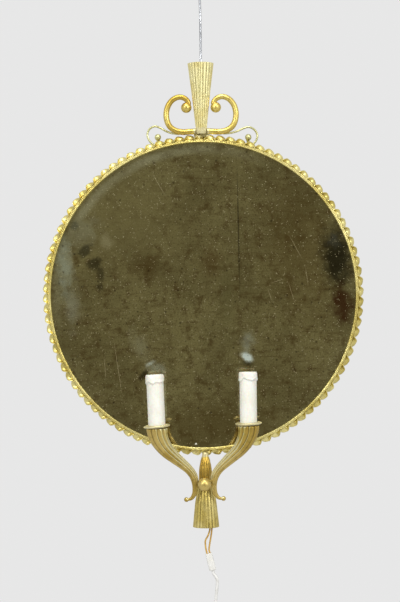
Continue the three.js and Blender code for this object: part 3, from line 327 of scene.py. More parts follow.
def lead_end(offset):
    """The last two points of a lead: square to the connector's top, at an offset across it."""
    end = CONNECTOR_TOP + CONNECTOR_ACROSS * offset - CONNECTOR_DOWN * 0.3
    return [end - CONNECTOR_DOWN * 5, end]


def hung(*points):
    """Points from x, depth and the drop below the skirt's hem. A minus drop lies inside the skirt."""
    return [spot(x, depth, HEM_Z - drop) for x, depth, drop in points]


lead_routes = {
    "lead_left": [*hung((5.5, 22, -34.6), (5.5, 22, -22.6), (6.2, 23.6, 2.4), (3.2, 24.6, 13.4),
                        (-1.4, 24, 22.4), (-1.3, 22.6, 32.4)), *lead_end(-2.3)],
    "lead_right": [*hung((9.7, 22, -34.6), (9.7, 22, -22.6), (9.4, 20.6, 2.4), (7.6, 20, 16.4),
                         (5.4, 20.6, 28.4)), *lead_end(2.3)],
}
flex_head = [CONNECTOR_BOTTOM + CONNECTOR_DOWN * 0.3, CONNECTOR_BOTTOM + CONNECTOR_DOWN * 6,
             *hung((16, 21.6, 83.4), (17.1, 20.8, 89.4), (15.8, 19, 104.4), (ENTRY_X, 16.6, 123.4)),
             spot(ENTRY_X, FRONT, COIL_Z + 21.5)]


# %% The coil's windings
def coil_line():
    """The loops spiral inward in the front layer and outward in the rear one: the radius falls by
    one pitch a turn up to the middle turn and grows again, and the depth changes layer there."""
    turn = np.linspace(0, COIL_TURNS, COIL_TURNS * COIL_STEPS + 1)
    radius = COIL_OUTER - COIL_PITCH * np.minimum(turn, COIL_TURNS - turn)
    climb = np.clip((turn - COIL_TURNS / 2 + 0.25) / 0.5, 0, 1)
    climb = climb * climb * (3 - 2 * climb)
    angle = 2 * np.pi * turn
    centre = ENTRY_X - COIL_OUTER
    return np.column_stack([centre + radius * np.cos(angle), -(FRONT + (REAR - FRONT) * climb),
                            COIL_Z - radius * np.sin(angle)])


flex_tail = [spot(ENTRY_X, REAR, COIL_Z - 24), spot(ENTRY_X, REAR, COIL_Z - 48)]
flex_line = np.vstack([through([*flex_head, spot(ENTRY_X, FRONT, COIL_Z + 7.5)], 10), coil_line(),
                       np.linspace(coil_line()[-1], flex_tail[1], 9)[1:]])
print("flex", round(run_length(flex_line)), "mm")


# %% Cords as round tubes
def cord_tube(name, line, diameter, nodes):
    """A round section of constant radius carried along the cord's line."""
    return put(name, tube_rows(line, diameter / 2, 14), nodes=nodes, sharp=60)


lead_lines = {name: through(route, 8) for name, route in lead_routes.items()}
cords = {name: cord_tube(name + "_wire", line, LEAD_DIAMETER, [name]) for name, line in lead_lines.items()}
flex = cord_tube("flex_cord", flex_line, FLEX_DIAMETER, ["flex", "flex_coil"])

# %% [markdown]
# ## Hoop and twisted edge
# The hoop is one turned ring: a rear flange, a wall and a front lip that holds the glass, with a bead
# of solder outside the wall. In that bead sits a flat strip that makes half a turn for each of its 96
# lobes. A section turned by an angle that grows along the ring gives the twist. The angle grows faster
# on one flank of each lobe, so the lobes lean as the real ones do.

# %% The hoop
SIGHT, HOOP_INNER, HOOP_OUTER, FLANGE = 248.0, 250.2, 252.5, 256.5
LIP_BACK, LIP_FRONT = 12.9, 17.9
SOLDER_REACH = 255.8


def arc(centre, radius, start, end, count):
    """Points on a circle's arc, angles in degrees."""
    a = np.radians(np.linspace(start, end, count))
    return np.column_stack([centre[0] + radius * np.cos(a), centre[1] + radius * np.sin(a)])


hoop_profile = np.vstack([
    [[HOOP_INNER, 4.3], [FLANGE - 0.4, 4.3], [FLANGE, 4.7], [FLANGE, 5.9], [FLANGE - 0.4, 6.3],
     [SOLDER_REACH, 6.6], [SOLDER_REACH, 12.6], [SOLDER_REACH - 0.8, 14.4], [HOOP_OUTER + 0.7, 15.6]],
    arc((HOOP_OUTER - 0.9, LIP_FRONT - 0.9), 0.9, 0, 90, 6),
    [[250.6, 17.9], [250.2, 17.55], [249.8, 17.85]],
    arc((SIGHT + 1.3, LIP_FRONT - 1.3), 1.3, 90, 180, 7),
    [[SIGHT, LIP_BACK], [HOOP_INNER, LIP_BACK], [HOOP_INNER, 4.3]],
])
SEAM, SEAM_WIDTH, GROOVE, GROOVE_WIDTH = 253.6, 1.0, 250.2, 0.2
HOOP_STEPS = 384
radius, depth = hoop_profile[:-1, :1], hoop_profile[:-1, 1:]
seam = np.exp(-((radius - SEAM) / SEAM_WIDTH) ** 2) * (depth > 14)
groove = np.exp(-((radius - GROOVE) / GROOVE_WIDTH) ** 2) * (depth > 17)
# The dark line at the seam and in the lip's groove is made strongest at the top of the ring and fainter
# toward the bottom.
seam = np.maximum(seam, groove) * (0.8 + 0.2 * np.sin(round_angles(HOOP_STEPS)))
turned("hoop", hoop_profile, (0, 0), HOOP_STEPS, False, hollow=seam, nodes=["rim_ring"], sharp=32)

# %% The twisted edge
TWIST_RADIUS, TWIST_DEPTH, TWIST_WIDTH, TWIST_THICK = 254.6, 13.4, 12.7, 3.0
TWIST_LOBES, TWIST_FLOOR, TWIST_LEAN = 96, 252.6, 0.5
TWIST_START = np.radians(1.0)
STEPS_PER_LOBE = 18


def strip_section(steps):
    """A flat strip's rounded section: a stadium, half width and half thickness at its points."""
    half, cap = TWIST_WIDTH / 2, TWIST_THICK / 2
    a = np.radians(np.linspace(-90, 90, steps))
    right = np.column_stack([half - cap + cap * np.cos(a), cap * np.sin(a)])
    flat = np.linspace(half - cap, cap - half, 5)[1:-1]
    top = np.column_stack([flat, np.full(3, cap)])
    return np.vstack([right, top, -right, -top])


section = strip_section(5)
ring_steps = TWIST_LOBES * STEPS_PER_LOBE
theta = TWIST_START + round_angles(ring_steps).T
turn = (theta - TWIST_START) * TWIST_LOBES / 2
turn = turn + TWIST_LEAN / 2 * (1 - np.cos(2 * turn))
along, off = section[None, :, 0], section[None, :, 1]
twist_r = TWIST_RADIUS + along * np.cos(turn) - off * np.sin(turn)
twist_d = TWIST_DEPTH + along * np.sin(turn) + off * np.cos(turn)
# The strip is made darker on its inner, rear part, near the hoop's wall.
darker_inner_rear = 0.6 * np.clip((255 - twist_r) / 2, 0, 1) * np.clip((15 - twist_d) / 5, 0, 1)
twist_r = np.maximum(twist_r, TWIST_FLOOR)
twist = np.stack([twist_r * np.cos(theta), -twist_d, twist_r * np.sin(theta)], -1)
put("twisted_edge", twist, True, ["twisted_trim"], hollow=darker_inner_rear, sharp=60)


# %% [markdown]
# ## Reeds
# The column, the bud, the skirt and the horns are cast with rounded reeds. Across one reed runs a
# number from -1 to 1, and the surface falls away from the crest as a circle does, so that two reeds
# meet in a sharp groove. The same number is the hollow of the patina.

# %% The reed function
REED_CHORD, REED_DROP = 0.97, 0.757


def reed(angle, count, phase=0.5):
    """0 on a reed's crest and 1 in the groove: the drop of a circle's arc below its crest, over the
    drop at the end of its chord."""
    x = 2 * np.mod(count * angle / (2 * np.pi) + phase, 1) - 1
    return (1 - np.sqrt(1 - (REED_CHORD * x) ** 2)) / REED_DROP


def reeded(name, rows, count, depth, centre, sides):
    """The blank of a reeded turned form. rows are radius, height and the reeds' share there, and no
    groove is deeper than 0.12 of the radius."""
    groove = reed(round_angles(sides), count) * rows[:, 2:3]
    taken = np.minimum(depth, 0.12 * rows[:, :1]) * groove
    return put(name, turned_rows(rows[:, :2], sides, centre, bite=taken), hollow=groove)


# %% Crest column
FOOT_Z, TOP_Z, CREST_DEPTH, BACK = 261.8, 376.0, 14.0, 4.3
COLUMN_FOOT, COLUMN_TOP, COLUMN_WALL = 8.4, 21.4, 3.0


def column_radius(share):
    """The side widens a little faster at the top than at the foot."""
    return COLUMN_FOOT + (COLUMN_TOP - COLUMN_FOOT) * (0.82 * share + 0.18 * share**2)


share = np.linspace(0, 1, 40)
outer = np.column_stack([column_radius(share), FOOT_Z + share * (TOP_Z - FOOT_Z), np.ones(40)])
outer[0, 0] -= 0.6
outer[:4, 2] = [0.2, 0.6, 0.9, 1]
lip = [[COLUMN_TOP - 0.35, TOP_Z, 0.9], [COLUMN_TOP - 1.2, TOP_Z, 0.6],
       [COLUMN_TOP - COLUMN_WALL + 0.4, TOP_Z, 0]]
outer[-1, 1] -= 0.35
inside = np.linspace(0.99, 0.335, 8)
inner = np.column_stack([column_radius(inside) - COLUMN_WALL, FOOT_Z + inside * (TOP_Z - FOOT_Z),
                         np.zeros(8)])
column = reeded("column", np.vstack([outer, lip, inner]), 18, 1.1, (0, CREST_DEPTH), 288)
carve(column, [box_tool((-40, 40), (-30, BACK), (250, 390)),
               box_tool((-12.5, 12.5), (-1, 9.3), (FOOT_Z - 1, FOOT_Z + 10.1))], ["crest_column"])

# %% Bud and skirt of the tassel
TASSEL_DEPTH, BUD_TOP, BUD_LOW = 22.0, -261.8, -299.7
HUB = (-1.8, -303.9)
HUB_HOLE, STUD_HOLE = 6.3, 2.8


def disc_tool(centre, radius, back, front):
    """A round bar square to the wall."""
    profile = [[0.01, back], [radius, back], [radius, front], [0.01, front]]
    return put("tool", turned_rows(profile, 48, centre, False))


bud_shape = through([(2.6, 0, BUD_TOP + 6.6), (4.7, 0, BUD_TOP + 5.2), (5.3, 0, BUD_TOP + 1.5),
                     (5.9, 0, BUD_TOP - 2.3), (8.2, 0, BUD_TOP - 9.5), (10, 0, BUD_TOP - 19),
                     (10.7, 0, BUD_TOP - 28.4), (10.8, 0, BUD_LOW)], 8)
bud_share = np.clip((BUD_TOP - bud_shape[:, 2]) / 9, 0, 1)
bud_rows = np.column_stack([bud_shape[:, 0], bud_shape[:, 2], bud_share])
bud = reeded("bud", bud_rows, 12, 1.0, (0, TASSEL_DEPTH), 216)
carve(bud, [disc_tool(HUB, HUB_HOLE, -5, 60)], ["tassel_bud"])

skirt_shape = through([(11, 0, -300), (12.3, 0, -309), (14.4, 0, -320), (17, 0, -333), (19, 0, -350),
                       (21.5, 0, HEM_Z + 0.5)], 9)
skirt_outer = np.column_stack([skirt_shape[:, 0], skirt_shape[:, 2], np.ones(len(skirt_shape))])
skirt_outer[0, 2] = 0.5
hem = [[21.3, HEM_Z, 0.9], [20.4, HEM_Z, 0.6], [18.7, HEM_Z, 0]]
skirt_inner = skirt_outer[skirt_outer[:, 1] < -323][::-4] * [1, 1, 0] - [3, 0, 0]
skirt = reeded("skirt", np.vstack([skirt_outer, hem, skirt_inner]), 18, 1.2, (0, TASSEL_DEPTH), 288)
carve(skirt, [box_tool((-40, 40), (-30, BACK), (-390, -290)), disc_tool(HUB, HUB_HOLE, -5, 12),
              disc_tool(HUB, HUB_HOLE, 32, 60), disc_tool(HUB, STUD_HOLE, -5, 60)], ["tassel_skirt"])


# %% [markdown]
# ## Scrolls, tendrils and pad
# A scroll is a round bar that tapers a little and ends in a ball. The bar is a tube along a smooth
# line and the ball a turned sphere, and a union makes them one skin, as the casting is.

# %% Bars that end in a ball
def ball_tool(centre, radius, steps=48):
    """A sphere: a half circle of radius and height, turned round the vertical."""
    a = np.radians(np.linspace(-89, 89, steps // 2))
    profile = np.column_stack([radius * np.cos(a), centre[2] + radius * np.sin(a)])
    return put("tool", turned_rows(profile, steps, (centre[0], -centre[1])))


def bar_with_ball(name, line, radii, ball, ball_radius, sides, nodes):
    """A tapering round bar with its ball joined on."""
    bar = put(name, tube_rows(line, radii[:, None], sides))
    carve(bar, [ball_tool(ball, ball_radius)], nodes, "UNION", 50)


LOW = FOOT_Z + 4.8
SCROLL = [(9.9, LOW - 0.7), (20, LOW - 1.2), (30, LOW - 1.6), (41, LOW + 0.6), (50, LOW + 6.5),
          (55.2, LOW + 16), (56.6, LOW + 29), (53.1, LOW + 42), (45.3, LOW + 51.5), (34.8, LOW + 55.4),
          (25.4, LOW + 52.4), (20.4, LOW + 45.5), (22.4, LOW + 39)]
TENDRIL = {
    "left": [(36, 6.4, 0.8), (48, 5.4, 2.4), (58, 3.6, 6.4), (66, 2.5, 11.2), (75.5, 2.5, 14.3),
             (84, 2.5, 10.4), (88, 2.5, 2.2), (86.6, 2.5, -5.8), (81.8, 2.5, -12.8),
             (75.4, 2.5, -16.6), (70.8, 2.5, -14.6), (70.4, 3.5, -9.6), (70.9, 6, -4.8)],
    "right": [(36, 6.4, 0.8), (48, 5.4, 1.8), (58.5, 3.6, 4.6), (67.5, 2.5, 8.8), (77.6, 2.5, 11.4),
              (86.8, 2.5, 6.8), (91.4, 2.5, -1.6), (90.2, 2.5, -9), (86, 2.5, -15.2), (80.4, 2.5, -18.6),
              (76.4, 2.5, -16.8), (75.9, 3.5, -11.4), (76.4, 6, -6.4)],
}
for word, side in SIDES:
    line = through([spot(side * x, CREST_DEPTH, z) for x, z in SCROLL], 10)
    radii = 4.8 - 0.9 * np.linspace(0, 1, len(line)) ** 3
    bar_with_ball(f"scroll_bar_{word}", line, radii, spot(side * 24, CREST_DEPTH, LOW + 38), 8.6, 32,
                  [f"scroll_{word}"])
    bends = [spot(side * x, depth, FOOT_Z + rise) for x, depth, rise in TENDRIL[word]]
    line = through(bends, 8)
    neck = 1.7 + 1.7 * np.clip((np.arange(len(line)) - len(line) + 16) / 9, 0, 1) ** 2
    bar_with_ball(f"tendril_wire_{word}", line, neck, spot(bends[-1][0], 7, bends[-1][2] + 0.6), 5.3, 16,
                  [f"tendril_{word}"])


# %% A block with rounded edges
def rounded(steps, half_width, half_depth, corner, phase=0.0):
    """A rounded rectangle's corner centres and the directions from them, at even angles."""
    a = round_angles(steps)[0] + phase
    out = np.column_stack([np.cos(a), np.sin(a)])
    return np.sign(out) * (half_width - corner, half_depth - corner), out


def soft_block(name, size, place, corner, edge, nodes):
    """A rounded bar: a rounded rectangle carried along its length, drawn in at both ends."""
    width, depth, length = size
    core, round_part = rounded(48, width / 2, depth / 2, corner, np.pi / 48)
    ends = np.radians(np.linspace(0, 90, 6))
    inset = edge * (1 - np.sin(ends))
    low = edge * (1 - np.cos(ends))
    inset, level = np.append(inset, inset[::-1]), np.append(low, length - low[::-1])
    flat = core[None] + round_part[None] * (corner - inset[:, None, None])
    rows = np.concatenate([flat, np.broadcast_to(level[:, None, None], (*flat.shape[:2], 1))], -1)
    return put(name, place(rows), nodes=nodes)


PAD_SIZE, PAD_DEPTH = (24.4, 4.5, 13.8), 6.75
pad_place = placed(spot(0, PAD_DEPTH, FOOT_Z - 4), (1, 0, 0), (0, -1, 0), (0, 0, 1))
soft_block("foot_pad", PAD_SIZE, pad_place, 1.2, 0.6, ["crest_foot"])

# %% [markdown]
# ## Horns
# Each horn is a reeded tube that swells from a thin curled tail to the cup under the candle. The
# radius is a fourth number carried along with the points of the line, and the section turns level at
# the mouth. The left arm has sagged outward by two degrees, so it is placed with that turn.

# %% Placing an arm
SAG = {"left": -2.0, "right": 0.0}
ARM_DEPTH = 41.4
CANDLE_DEPTH = ARM_DEPTH + 34
SPREAD = 71.0
arm_place = {word: spun(sag, spot(HUB[0], 0, HUB[1])) for word, sag in SAG.items()}

# %% The horns
HORN = [(30.3, 0, -24.1, 2), (23.1, 0, -23.2, 2.6), (17.6, 0, -16.7, 3.7), (15, 0, -7, 4.8),
        (15, 0, 4.3, 5.9), (17.9, 1.5, 15, 6.8), (24.4, 5, 24.9, 7.3), (34.9, 10, 35.6, 8.5),
        (46.1, 16, 46.4, 10), (57, 23, 58, 11.8), (65.8, 29, 72, 14), (70.2, 33, 85, 16),
        (71, 34, 94.4, 17), (71, 34, 95, 16.6)]
HORN_REEDS, HORN_GROOVE, HORN_SIDES, HORN_LEVEL_ROWS = 10, 0.13, 200, 22
HORN_BALL = 3.8
for word, side in SIDES:
    line = through([(*spot(side * x, ARM_DEPTH + d, z), r) for x, d, z, r in HORN], 10)
    share = np.clip((line[:, 3:] - 2) / 5, 0, 1)
    groove = reed(round_angles(HORN_SIDES), HORN_REEDS, 0)
    reach = line[:, 3:] * (1 - HORN_GROOVE * share * groove)
    rows = arm_place[word](tube_rows(line, reach, HORN_SIDES, HORN_LEVEL_ROWS))
    horn = put(f"horn_{word}", rows, hollow=0.85 * groove * share)
    tip = arm_place[word](line[0, :3])
    carve(horn, [ball_tool(tuple(tip), HORN_BALL, 32)], [f"arm_{word}"], "UNION")

# %% Ball, collar and spacer
BALL_RADIUS, BALL_CENTRE, BALL_BACK = 10.9, 52, 44.2
first = math.degrees(math.acos((BALL_CENTRE - BALL_BACK) / BALL_RADIUS))
half = np.radians(np.linspace(first, 179, 40))
ball_profile = np.column_stack([BALL_RADIUS * np.sin(half), BALL_CENTRE - BALL_RADIUS * np.cos(half)])
ball_profile = np.vstack([[0.01, BALL_BACK], [ball_profile[0, 0] - 0.2, BALL_BACK], ball_profile])
turned("ball_nut", ball_profile, HUB, 72, False, nodes=["centre_ball"], sharp=40)
for name, node_name, back, front in (("neck_spacer", "stud_spacer", 4.3, 11.7),
                                     ("neck_collar", "arm_collar", 32.3, 38.3)):
    ring = [[2.6, back], [5.6, back], [6, back + 0.4], [6, front - 0.4], [5.6, front], [2.6, front],
            [2.6, back]]
    turned(name, ring, HUB, 48, False, nodes=[node_name])


# %% [markdown]
# ## Candles
# A card sleeve stands on a beaded drip plate and hides a lampholder. Its top carries a collar of wax
# that ends in uneven drips: the collar's lower edge is a sum of a few waves round the sleeve, and the
# surface swells smoothly above that edge.

# %% Drip plates
PLATE_LOW, HOLDER_LOW, HOLDER_TOP = 96.19, 100.38, 175.38
PLATE_TILT = 2.4
plate_profile = np.vstack([
    [[5.5, 0.2], [5.7, 0], [16.6, 0], [17.2, 0.2], [18.2, 1.0], [18.6, 1.5]],
    arc((19.6, 2.6), 1.55, -110, 100, 12),
    [[18.4, 4.75], [17.5, 4.5], [16.9, 3.4], [16.3, 3], [5.7, 3], [5.5, 2.8], [5.5, 0.2]],
])
for word, side in SIDES:
    tilted = spun(-PLATE_TILT, spot(side * SPREAD, CANDLE_DEPTH, PLATE_LOW))
    turned(f"drip_pan_{word}", plate_profile, (0, 0), 96, place=lambda rows: arm_place[word](tilted(rows)),
           nodes=[f"drip_plate_{word}"])

# %% Sleeves with their wax
SLEEVE_R, SLEEVE_IN, SLEEVE_H = 13.6, 12.3, 80.0
WAX_EDGE, WAX_THICK = 13.5, 1.15
SLEEVE_SIDES = 144


def upright(radius, angle, height):
    """Points round a vertical axis through the origin."""
    return np.stack([radius * np.sin(angle), -radius * np.cos(angle), height + 0 * angle], -1)


def wax_rows(seed):
    """Radius = sleeve + wax, where wax rises from 0 to its thickness over 2.2 mm above the drips'
    edge and swells in a bead just there. The edge lies WAX_EDGE below the top, plus or minus waves."""
    draw = np.random.default_rng(seed)
    angle = round_angles(SLEEVE_SIDES)
    height = np.concatenate([np.linspace(0, 56, 12), np.linspace(57, SLEEVE_H, 60)])[:, None]
    edge = SLEEVE_H - WAX_EDGE
    lumps = 0
    for waves, size in ((2, 1.4), (3, 1.6), (5, 1.3), (8, 0.8)):
        phase = draw.uniform(0, 2 * np.pi)
        edge = edge + size * np.sin(waves * angle + phase)
        lumps = lumps + 0.05 * np.sin(waves * angle + 0.4 * height + phase)
    rise = np.clip((height - edge) / 2.2, 0, 1)
    rise = rise * rise * (3 - 2 * rise)
    bead = 0.35 * np.exp(-(((height - edge - 3) / 1.8) ** 2))
    top = np.clip((height - SLEEVE_H + 4.5) / 4.5, 0, 1) ** 2
    radius = SLEEVE_R + rise * (WAX_THICK + lumps * 2) * (1 - 0.85 * top) + bead * (1 - top)
    inner = [[SLEEVE_R - 0.5, SLEEVE_H], [SLEEVE_IN, SLEEVE_H - 0.4], [SLEEVE_IN, 50], [SLEEVE_IN, 0]]
    return np.concatenate([upright(radius, angle, height), turned_rows(inner, SLEEVE_SIDES, (0, 0))])


for word, side, seed in (("left", -1, 4), ("right", 1, 11)):
    rows = wax_rows(seed) + np.array([side * SPREAD, -CANDLE_DEPTH, HOLDER_LOW])
    rows = arm_place[word](rows)
    put(f"wax_sleeve_{word}", rows, True, [f"candle_sleeve_{word}"], sharp=55)

# %% Lampholders, threads and contacts
holder_profile = [[5.3, HOLDER_LOW], [9, HOLDER_LOW], [9, 103.38], [6.8, 105.38], [6.8, 144.38],
                  [11.3, 149.38], [11.3, 174.6], [10.6, HOLDER_TOP], [8.9, HOLDER_TOP], [8.3, 174.8],
                  [8.3, 152.38], [2.6, 152.38], [2.6, 117.0], [5.3, 117.0], [5.3, HOLDER_LOW]]
contact_profile = [[0.01, 152.68], [5.5, 152.68], [5.5, 153.4], [4.6, 153.6], [2.2, 154.18], [1.2, 154.6],
                   [0.01, 154.78]]
SHELL_LOW, SHELL_HIGH, SHELL_RADIUS, SHELL_WALL = 154.5, 174.3, 8.0, 0.45


def thread_rows(low, high, radius, pitch=2.8, depth=0.45):
    """A screw shell: the wall waves with height plus angle times the pitch, so it climbs a pitch a
    turn. The inner wall follows the outer one."""
    angle = round_angles(72)
    height = np.linspace(low, high, 90)[:, None]
    wave = depth * 0.5 * (1 + np.sin(2 * np.pi * height / pitch - angle))
    ease = np.clip(np.minimum(height - low, high - height) / 1.5, 0, 1)
    outside = radius - wave * ease
    inside = (outside - SHELL_WALL)[::-1]
    return upright(np.concatenate([outside, inside]), angle, np.concatenate([height, height[::-1]]))


for word, side in SIDES:
    shift = np.array([side * SPREAD, -CANDLE_DEPTH, 0])
    place = arm_place[word]
    for name, node_name, profile, steps in (("holder", "lampholder", holder_profile, 64),
                                            ("contact", "centre_contact", contact_profile, 40)):
        turned(f"{name}_{word}", profile, (0, 0), steps, place=lambda rows: place(rows + shift),
               nodes=[f"{node_name}_{word}"])
    rows = place(thread_rows(SHELL_LOW, SHELL_HIGH, SHELL_RADIUS) + shift)
    put(f"thread_{word}", rows, True, [f"screw_shell_{word}"], sharp=60)


# %% [markdown]
# ## Connector, plug and tie
# The connector is a plain rounded block along the line between the leads and the flex. The plug is a
# loft of rounded rectangles that widen from the cord's neck to the grip.

# %% Connector block
connector_place = placed(CONNECTOR_TOP, CONNECTOR_ACROSS, (0, -1, 0), CONNECTOR_DOWN)
span = float(np.linalg.norm(CONNECTOR_BOTTOM - CONNECTOR_TOP))
connector = soft_block("connector", (11, 9, span), connector_place, 2.4, 0.9, ["connector_block"])

# %% Plug and pins
PLUG_LENGTH = 35
PLUG_TOP = COIL_Z - 48.3
PLUG_LOW = PLUG_TOP - PLUG_LENGTH
plug_stations = np.array([(0, 4.6, 4.4), (0.6, 5.1, 4.9), (7, 5.6, 5.2), (10, 7, 5.8), (14, 10.6, 6.5),
                          (18, 12.7, 6.8), (22, 12.5, 6.6), (28, 12.8, 6.8), (34, 13, 6.8),
                          (34.7, 12.8, 6.6), (35, 12.2, 6)])


def plug_rows():
    """Rounded sections: a power curve between circle and rectangle, x = w |cos|^p, y = d |sin|^p,
    with fine grip ridges on the flanks."""
    level = np.linspace(0, PLUG_LENGTH, 90)
    half_w, half_d = (np.interp(level, plug_stations[:, 0], plug_stations[:, k]) for k in (1, 2))
    waves = (1 + np.sin(level * 2 * np.pi / 2.4)) / 2
    half_w = half_w - 0.3 * np.clip(1 - np.abs(level - 25) / 7, 0, 1) ** 0.3 * waves
    a = round_angles(72)
    power = np.interp(level, [6, 16], [1.0, 0.45])[:, None]
    x, y = (half[:, None] * np.sign(wave) * np.abs(wave) ** power
            for half, wave in ((half_w, np.cos(a)), (half_d, np.sin(a))))
    return np.stack([ENTRY_X + x, -(REAR + y), PLUG_TOP - level[:, None] + 0 * a], -1)


plug = put("plug", plug_rows(), nodes=["plug_body"], sharp=50)
pin_base, pin_tip = PLUG_LOW - 0.3, PLUG_LOW - 19
plug_pin = [[0.01, pin_base], [2, pin_base], [2, pin_tip + 1.6], [1.7, pin_tip + 0.6], [1.1, pin_tip + 0.1],
            [0.01, pin_tip]]
pins = [turned(f"pin_{number}", plug_pin, (ENTRY_X + side * 9, REAR), 32, nodes=[f"plug_pin_{number}"])
        for number, side in ((1, -1), (2, 1))]

# %% The coil's tie
TIE_GAP, TIE_CORNER = 3.0, 2.6
tie_far = COIL_OUTER - 0.5 * COIL_PITCH + TIE_GAP
tie_near = COIL_OUTER - 3 * COIL_PITCH - TIE_GAP
tie_x = ENTRY_X - COIL_OUTER - (tie_far + tie_near) / 2


def tie_rows():
    """A band: a rounded rectangle in x and depth, grown and raised by turns round a thin section."""
    core, out = rounded(64, (tie_far - tie_near) / 2, (FRONT - REAR) / 2 + TIE_GAP, TIE_CORNER)
    rows = []
    for grow, level in ((0, -2.7), (0.2, -3), (1, -3), (1.2, -2.7), (1.2, 2.7), (1, 3), (0.2, 3), (0, 2.7)):
        flat = core + out * (TIE_CORNER + grow)
        rows.append(np.column_stack([tie_x + flat[:, 0], -((FRONT + REAR) / 2 + flat[:, 1]),
                                     np.full(64, COIL_Z + level)]))
    return np.array(rows)


tie = put("tie_band", tie_rows(), True, ["coil_tie"])

# %% The cords' facts
for name, line in lead_lines.items():
    print(name, round(run_length(line)), "mm")


# %% [markdown]
# ## Rod, pin and screws
# The mirror hangs on a bent steel wire with an open eye at each end. The screws are turned blanks with
# a slot cut across their heads.

# %% Hanging rod and pin
PIN_Z, ROD_TOP, ROD_DEPTH, ROD_RADIUS, EYE_R = 345.0, 494.0, 9.2, 1.8, 5.2


def eye_points(centre, up):
    """An open eye: a circle's arc from 35 to -235 degrees, then two points that lead to the shank."""
    a = np.radians(np.arange(35, -236, -27))
    bend = [spot(EYE_R * math.cos(t), ROD_DEPTH, centre + up * EYE_R * math.sin(t)) for t in a]
    return [*bend, spot(-0.6, ROD_DEPTH, centre + up * (EYE_R + 4)),
            spot(0, ROD_DEPTH, centre + up * (EYE_R + 8))]


rod_points = [*eye_points(PIN_Z, 1), *eye_points(ROD_TOP, -1)[::-1]]
put("rod_wire", tube_rows(through(rod_points, 6), ROD_RADIUS, 24), nodes=["hanging_rod"], sharp=50)
pin_profile = [[0.01, 0.4], [2.5, 0.4], [2.5, 4.3], [5.2, 4.3], [5.5, 4.6], [5.5, 6.6], [5.2, 6.9], [3, 6.9],
               [3, 11.5], [5.2, 11.5], [5.5, 11.8], [5.2, 12.6], [4, 13], [0.01, 13]]
turned("pin", pin_profile, (0, PIN_Z), 48, False, nodes=["hanging_pin"])


# %% Slotted screws
def slotted(name, profile, centre, slot_depths, node_name, angle):
    """A turned screw with a slot across the end that faces the wall, turned by an angle."""
    made = turned(name, profile, centre, 40, False)
    tool = box_tool((-8, 8), slot_depths, (-0.45, 0.45))
    spun = Matrix.Rotation(angle, 4, "Y")
    tool.data.transform(Matrix.Translation((centre[0] * MM, 0, centre[1] * MM)) @ spun)
    carve(made, [tool], [node_name], sharp=35)


screw_circle = (HOOP_INNER + FLANGE) / 2
dome = np.vstack([[[0.01, 0.8]], arc((0, 4.75), 4.0, -87, -49, 7), [[3, 2.1], [1.4, 2.1], [1.4, 6.3],
                  [0.01, 6.3]]])
dome[:, 1] = np.maximum(dome[:, 1], 0.9)
for number in range(4):
    a = math.pi / 4 + number * math.pi / 2
    slotted(f"clip_bolt_{number + 1}", dome, (screw_circle * math.cos(a), screw_circle * math.sin(a)),
            (-1, 1.4), f"clip_screw_{number + 1}", 0.7 * number + 0.3)
SHANK, HEAD, HEAD_BACK = 1.6, 3.4, 0.4
COUNTERSUNK = [("strap_{}_top", screw_circle, 6.3), ("strap_{}_bottom", -screw_circle, 6.3),
               ("foot_{}", FOOT_Z + 4.9, 8.0), ("column_{}", FOOT_Z + 22, 13.0)]
for number, (word, z, tip) in enumerate(COUNTERSUNK):
    profile = [[0.01, HEAD_BACK], [HEAD, HEAD_BACK], [SHANK, HEAD_BACK + HEAD - SHANK], [SHANK, tip],
               [0.01, tip]]
    slotted(word.format("bolt"), profile, (0, z), (-1, 1.2), word.format("screw"), 0.5 + number)
stud_profile = [[0.01, 0.4], [4.4, 0.4], [2.5, 2.3], [2.5, 55], [0.01, 55]]
slotted("stud_bolt", stud_profile, HUB, (-1, 1.4), "centre_stud", 1.1)

# %% [markdown]
# ## Finishes
# Old brass isn't one colour. Rubbed crests are bright, broad areas drift from pale to warm, and
# grooves hold a dull brown-green film that shines less. One node group works this out for every brass
# piece from noise on Object coordinates and from the `hollow` number, and each material gives it its
# own four colours. A second number, `tone`, tells how far a piece has browned as a whole, or with a
# minus sign how pale it has become from wear; on the horns that pale share is a painted highlight
# streak. The group gives colours and values only; the shader stays in the material.

# %% Values and nodes
def linear(r, g, b):
    """A colour read off a screen, 0 to 255, as the linear light that the shader wants."""
    c = np.array([r, g, b]) / 255
    c = np.where(c <= 0.04045, c / 12.92, ((c + 0.055) / 1.055) ** 2.4)
    return (*c.tolist(), 1.0)


def grey(light):
    """A neutral colour in linear light."""
    return (light, light, light, 1.0)


class Value:
    """One output of a node. Its sum, difference or product with a number or another value adds the
    Math node that works it out."""

    def __init__(self, made, output=0):
        self.tree, self.socket = made.id_data, made.outputs[output]

    def __add__(self, other):
        return maths("ADD", self, other)

    def __sub__(self, other):
        return maths("SUBTRACT", self, other)

    def __rsub__(self, other):
        return maths("SUBTRACT", other, self)

    def __mul__(self, other):
        return maths("MULTIPLY", self, other)


def feed(made, **inputs):
    """Fills a node's inputs by name, with _ for a space, or by number as i0. A value is linked and
    anything else is set."""
    for key, value in inputs.items():
        number = key[0] == "i" and key[1:].isdigit()
        socket = made.inputs[int(key[1:]) if number else key.replace("_", " ")]
        if isinstance(value, Value):
            value.tree.links.new(value.socket, socket)
        else:
            socket.default_value = value
    return made


def node(tree, kind, props=(), **inputs):
    """Adds a node with its settings and its inputs."""
    made = tree.nodes.new("ShaderNode" + kind)
    for key, value in dict(props).items():
        setattr(made, key, value)
    return feed(made, **inputs)


def tree_of(*values):
    """The tree of the first of these that is a value."""
    return next(v.tree for v in values if isinstance(v, Value))


def maths(operation, a, b=0.0, clamp=False):
    return Value(node(tree_of(a, b), "Math", {"operation": operation, "use_clamp": clamp}, i0=a, i1=b))


def vector(operation, a, *b, output=0):
    inputs = dict(zip(("i0", "i1"), (a, *b)))
    return Value(node(a.tree, "VectorMath", {"operation": operation}, **inputs), output)


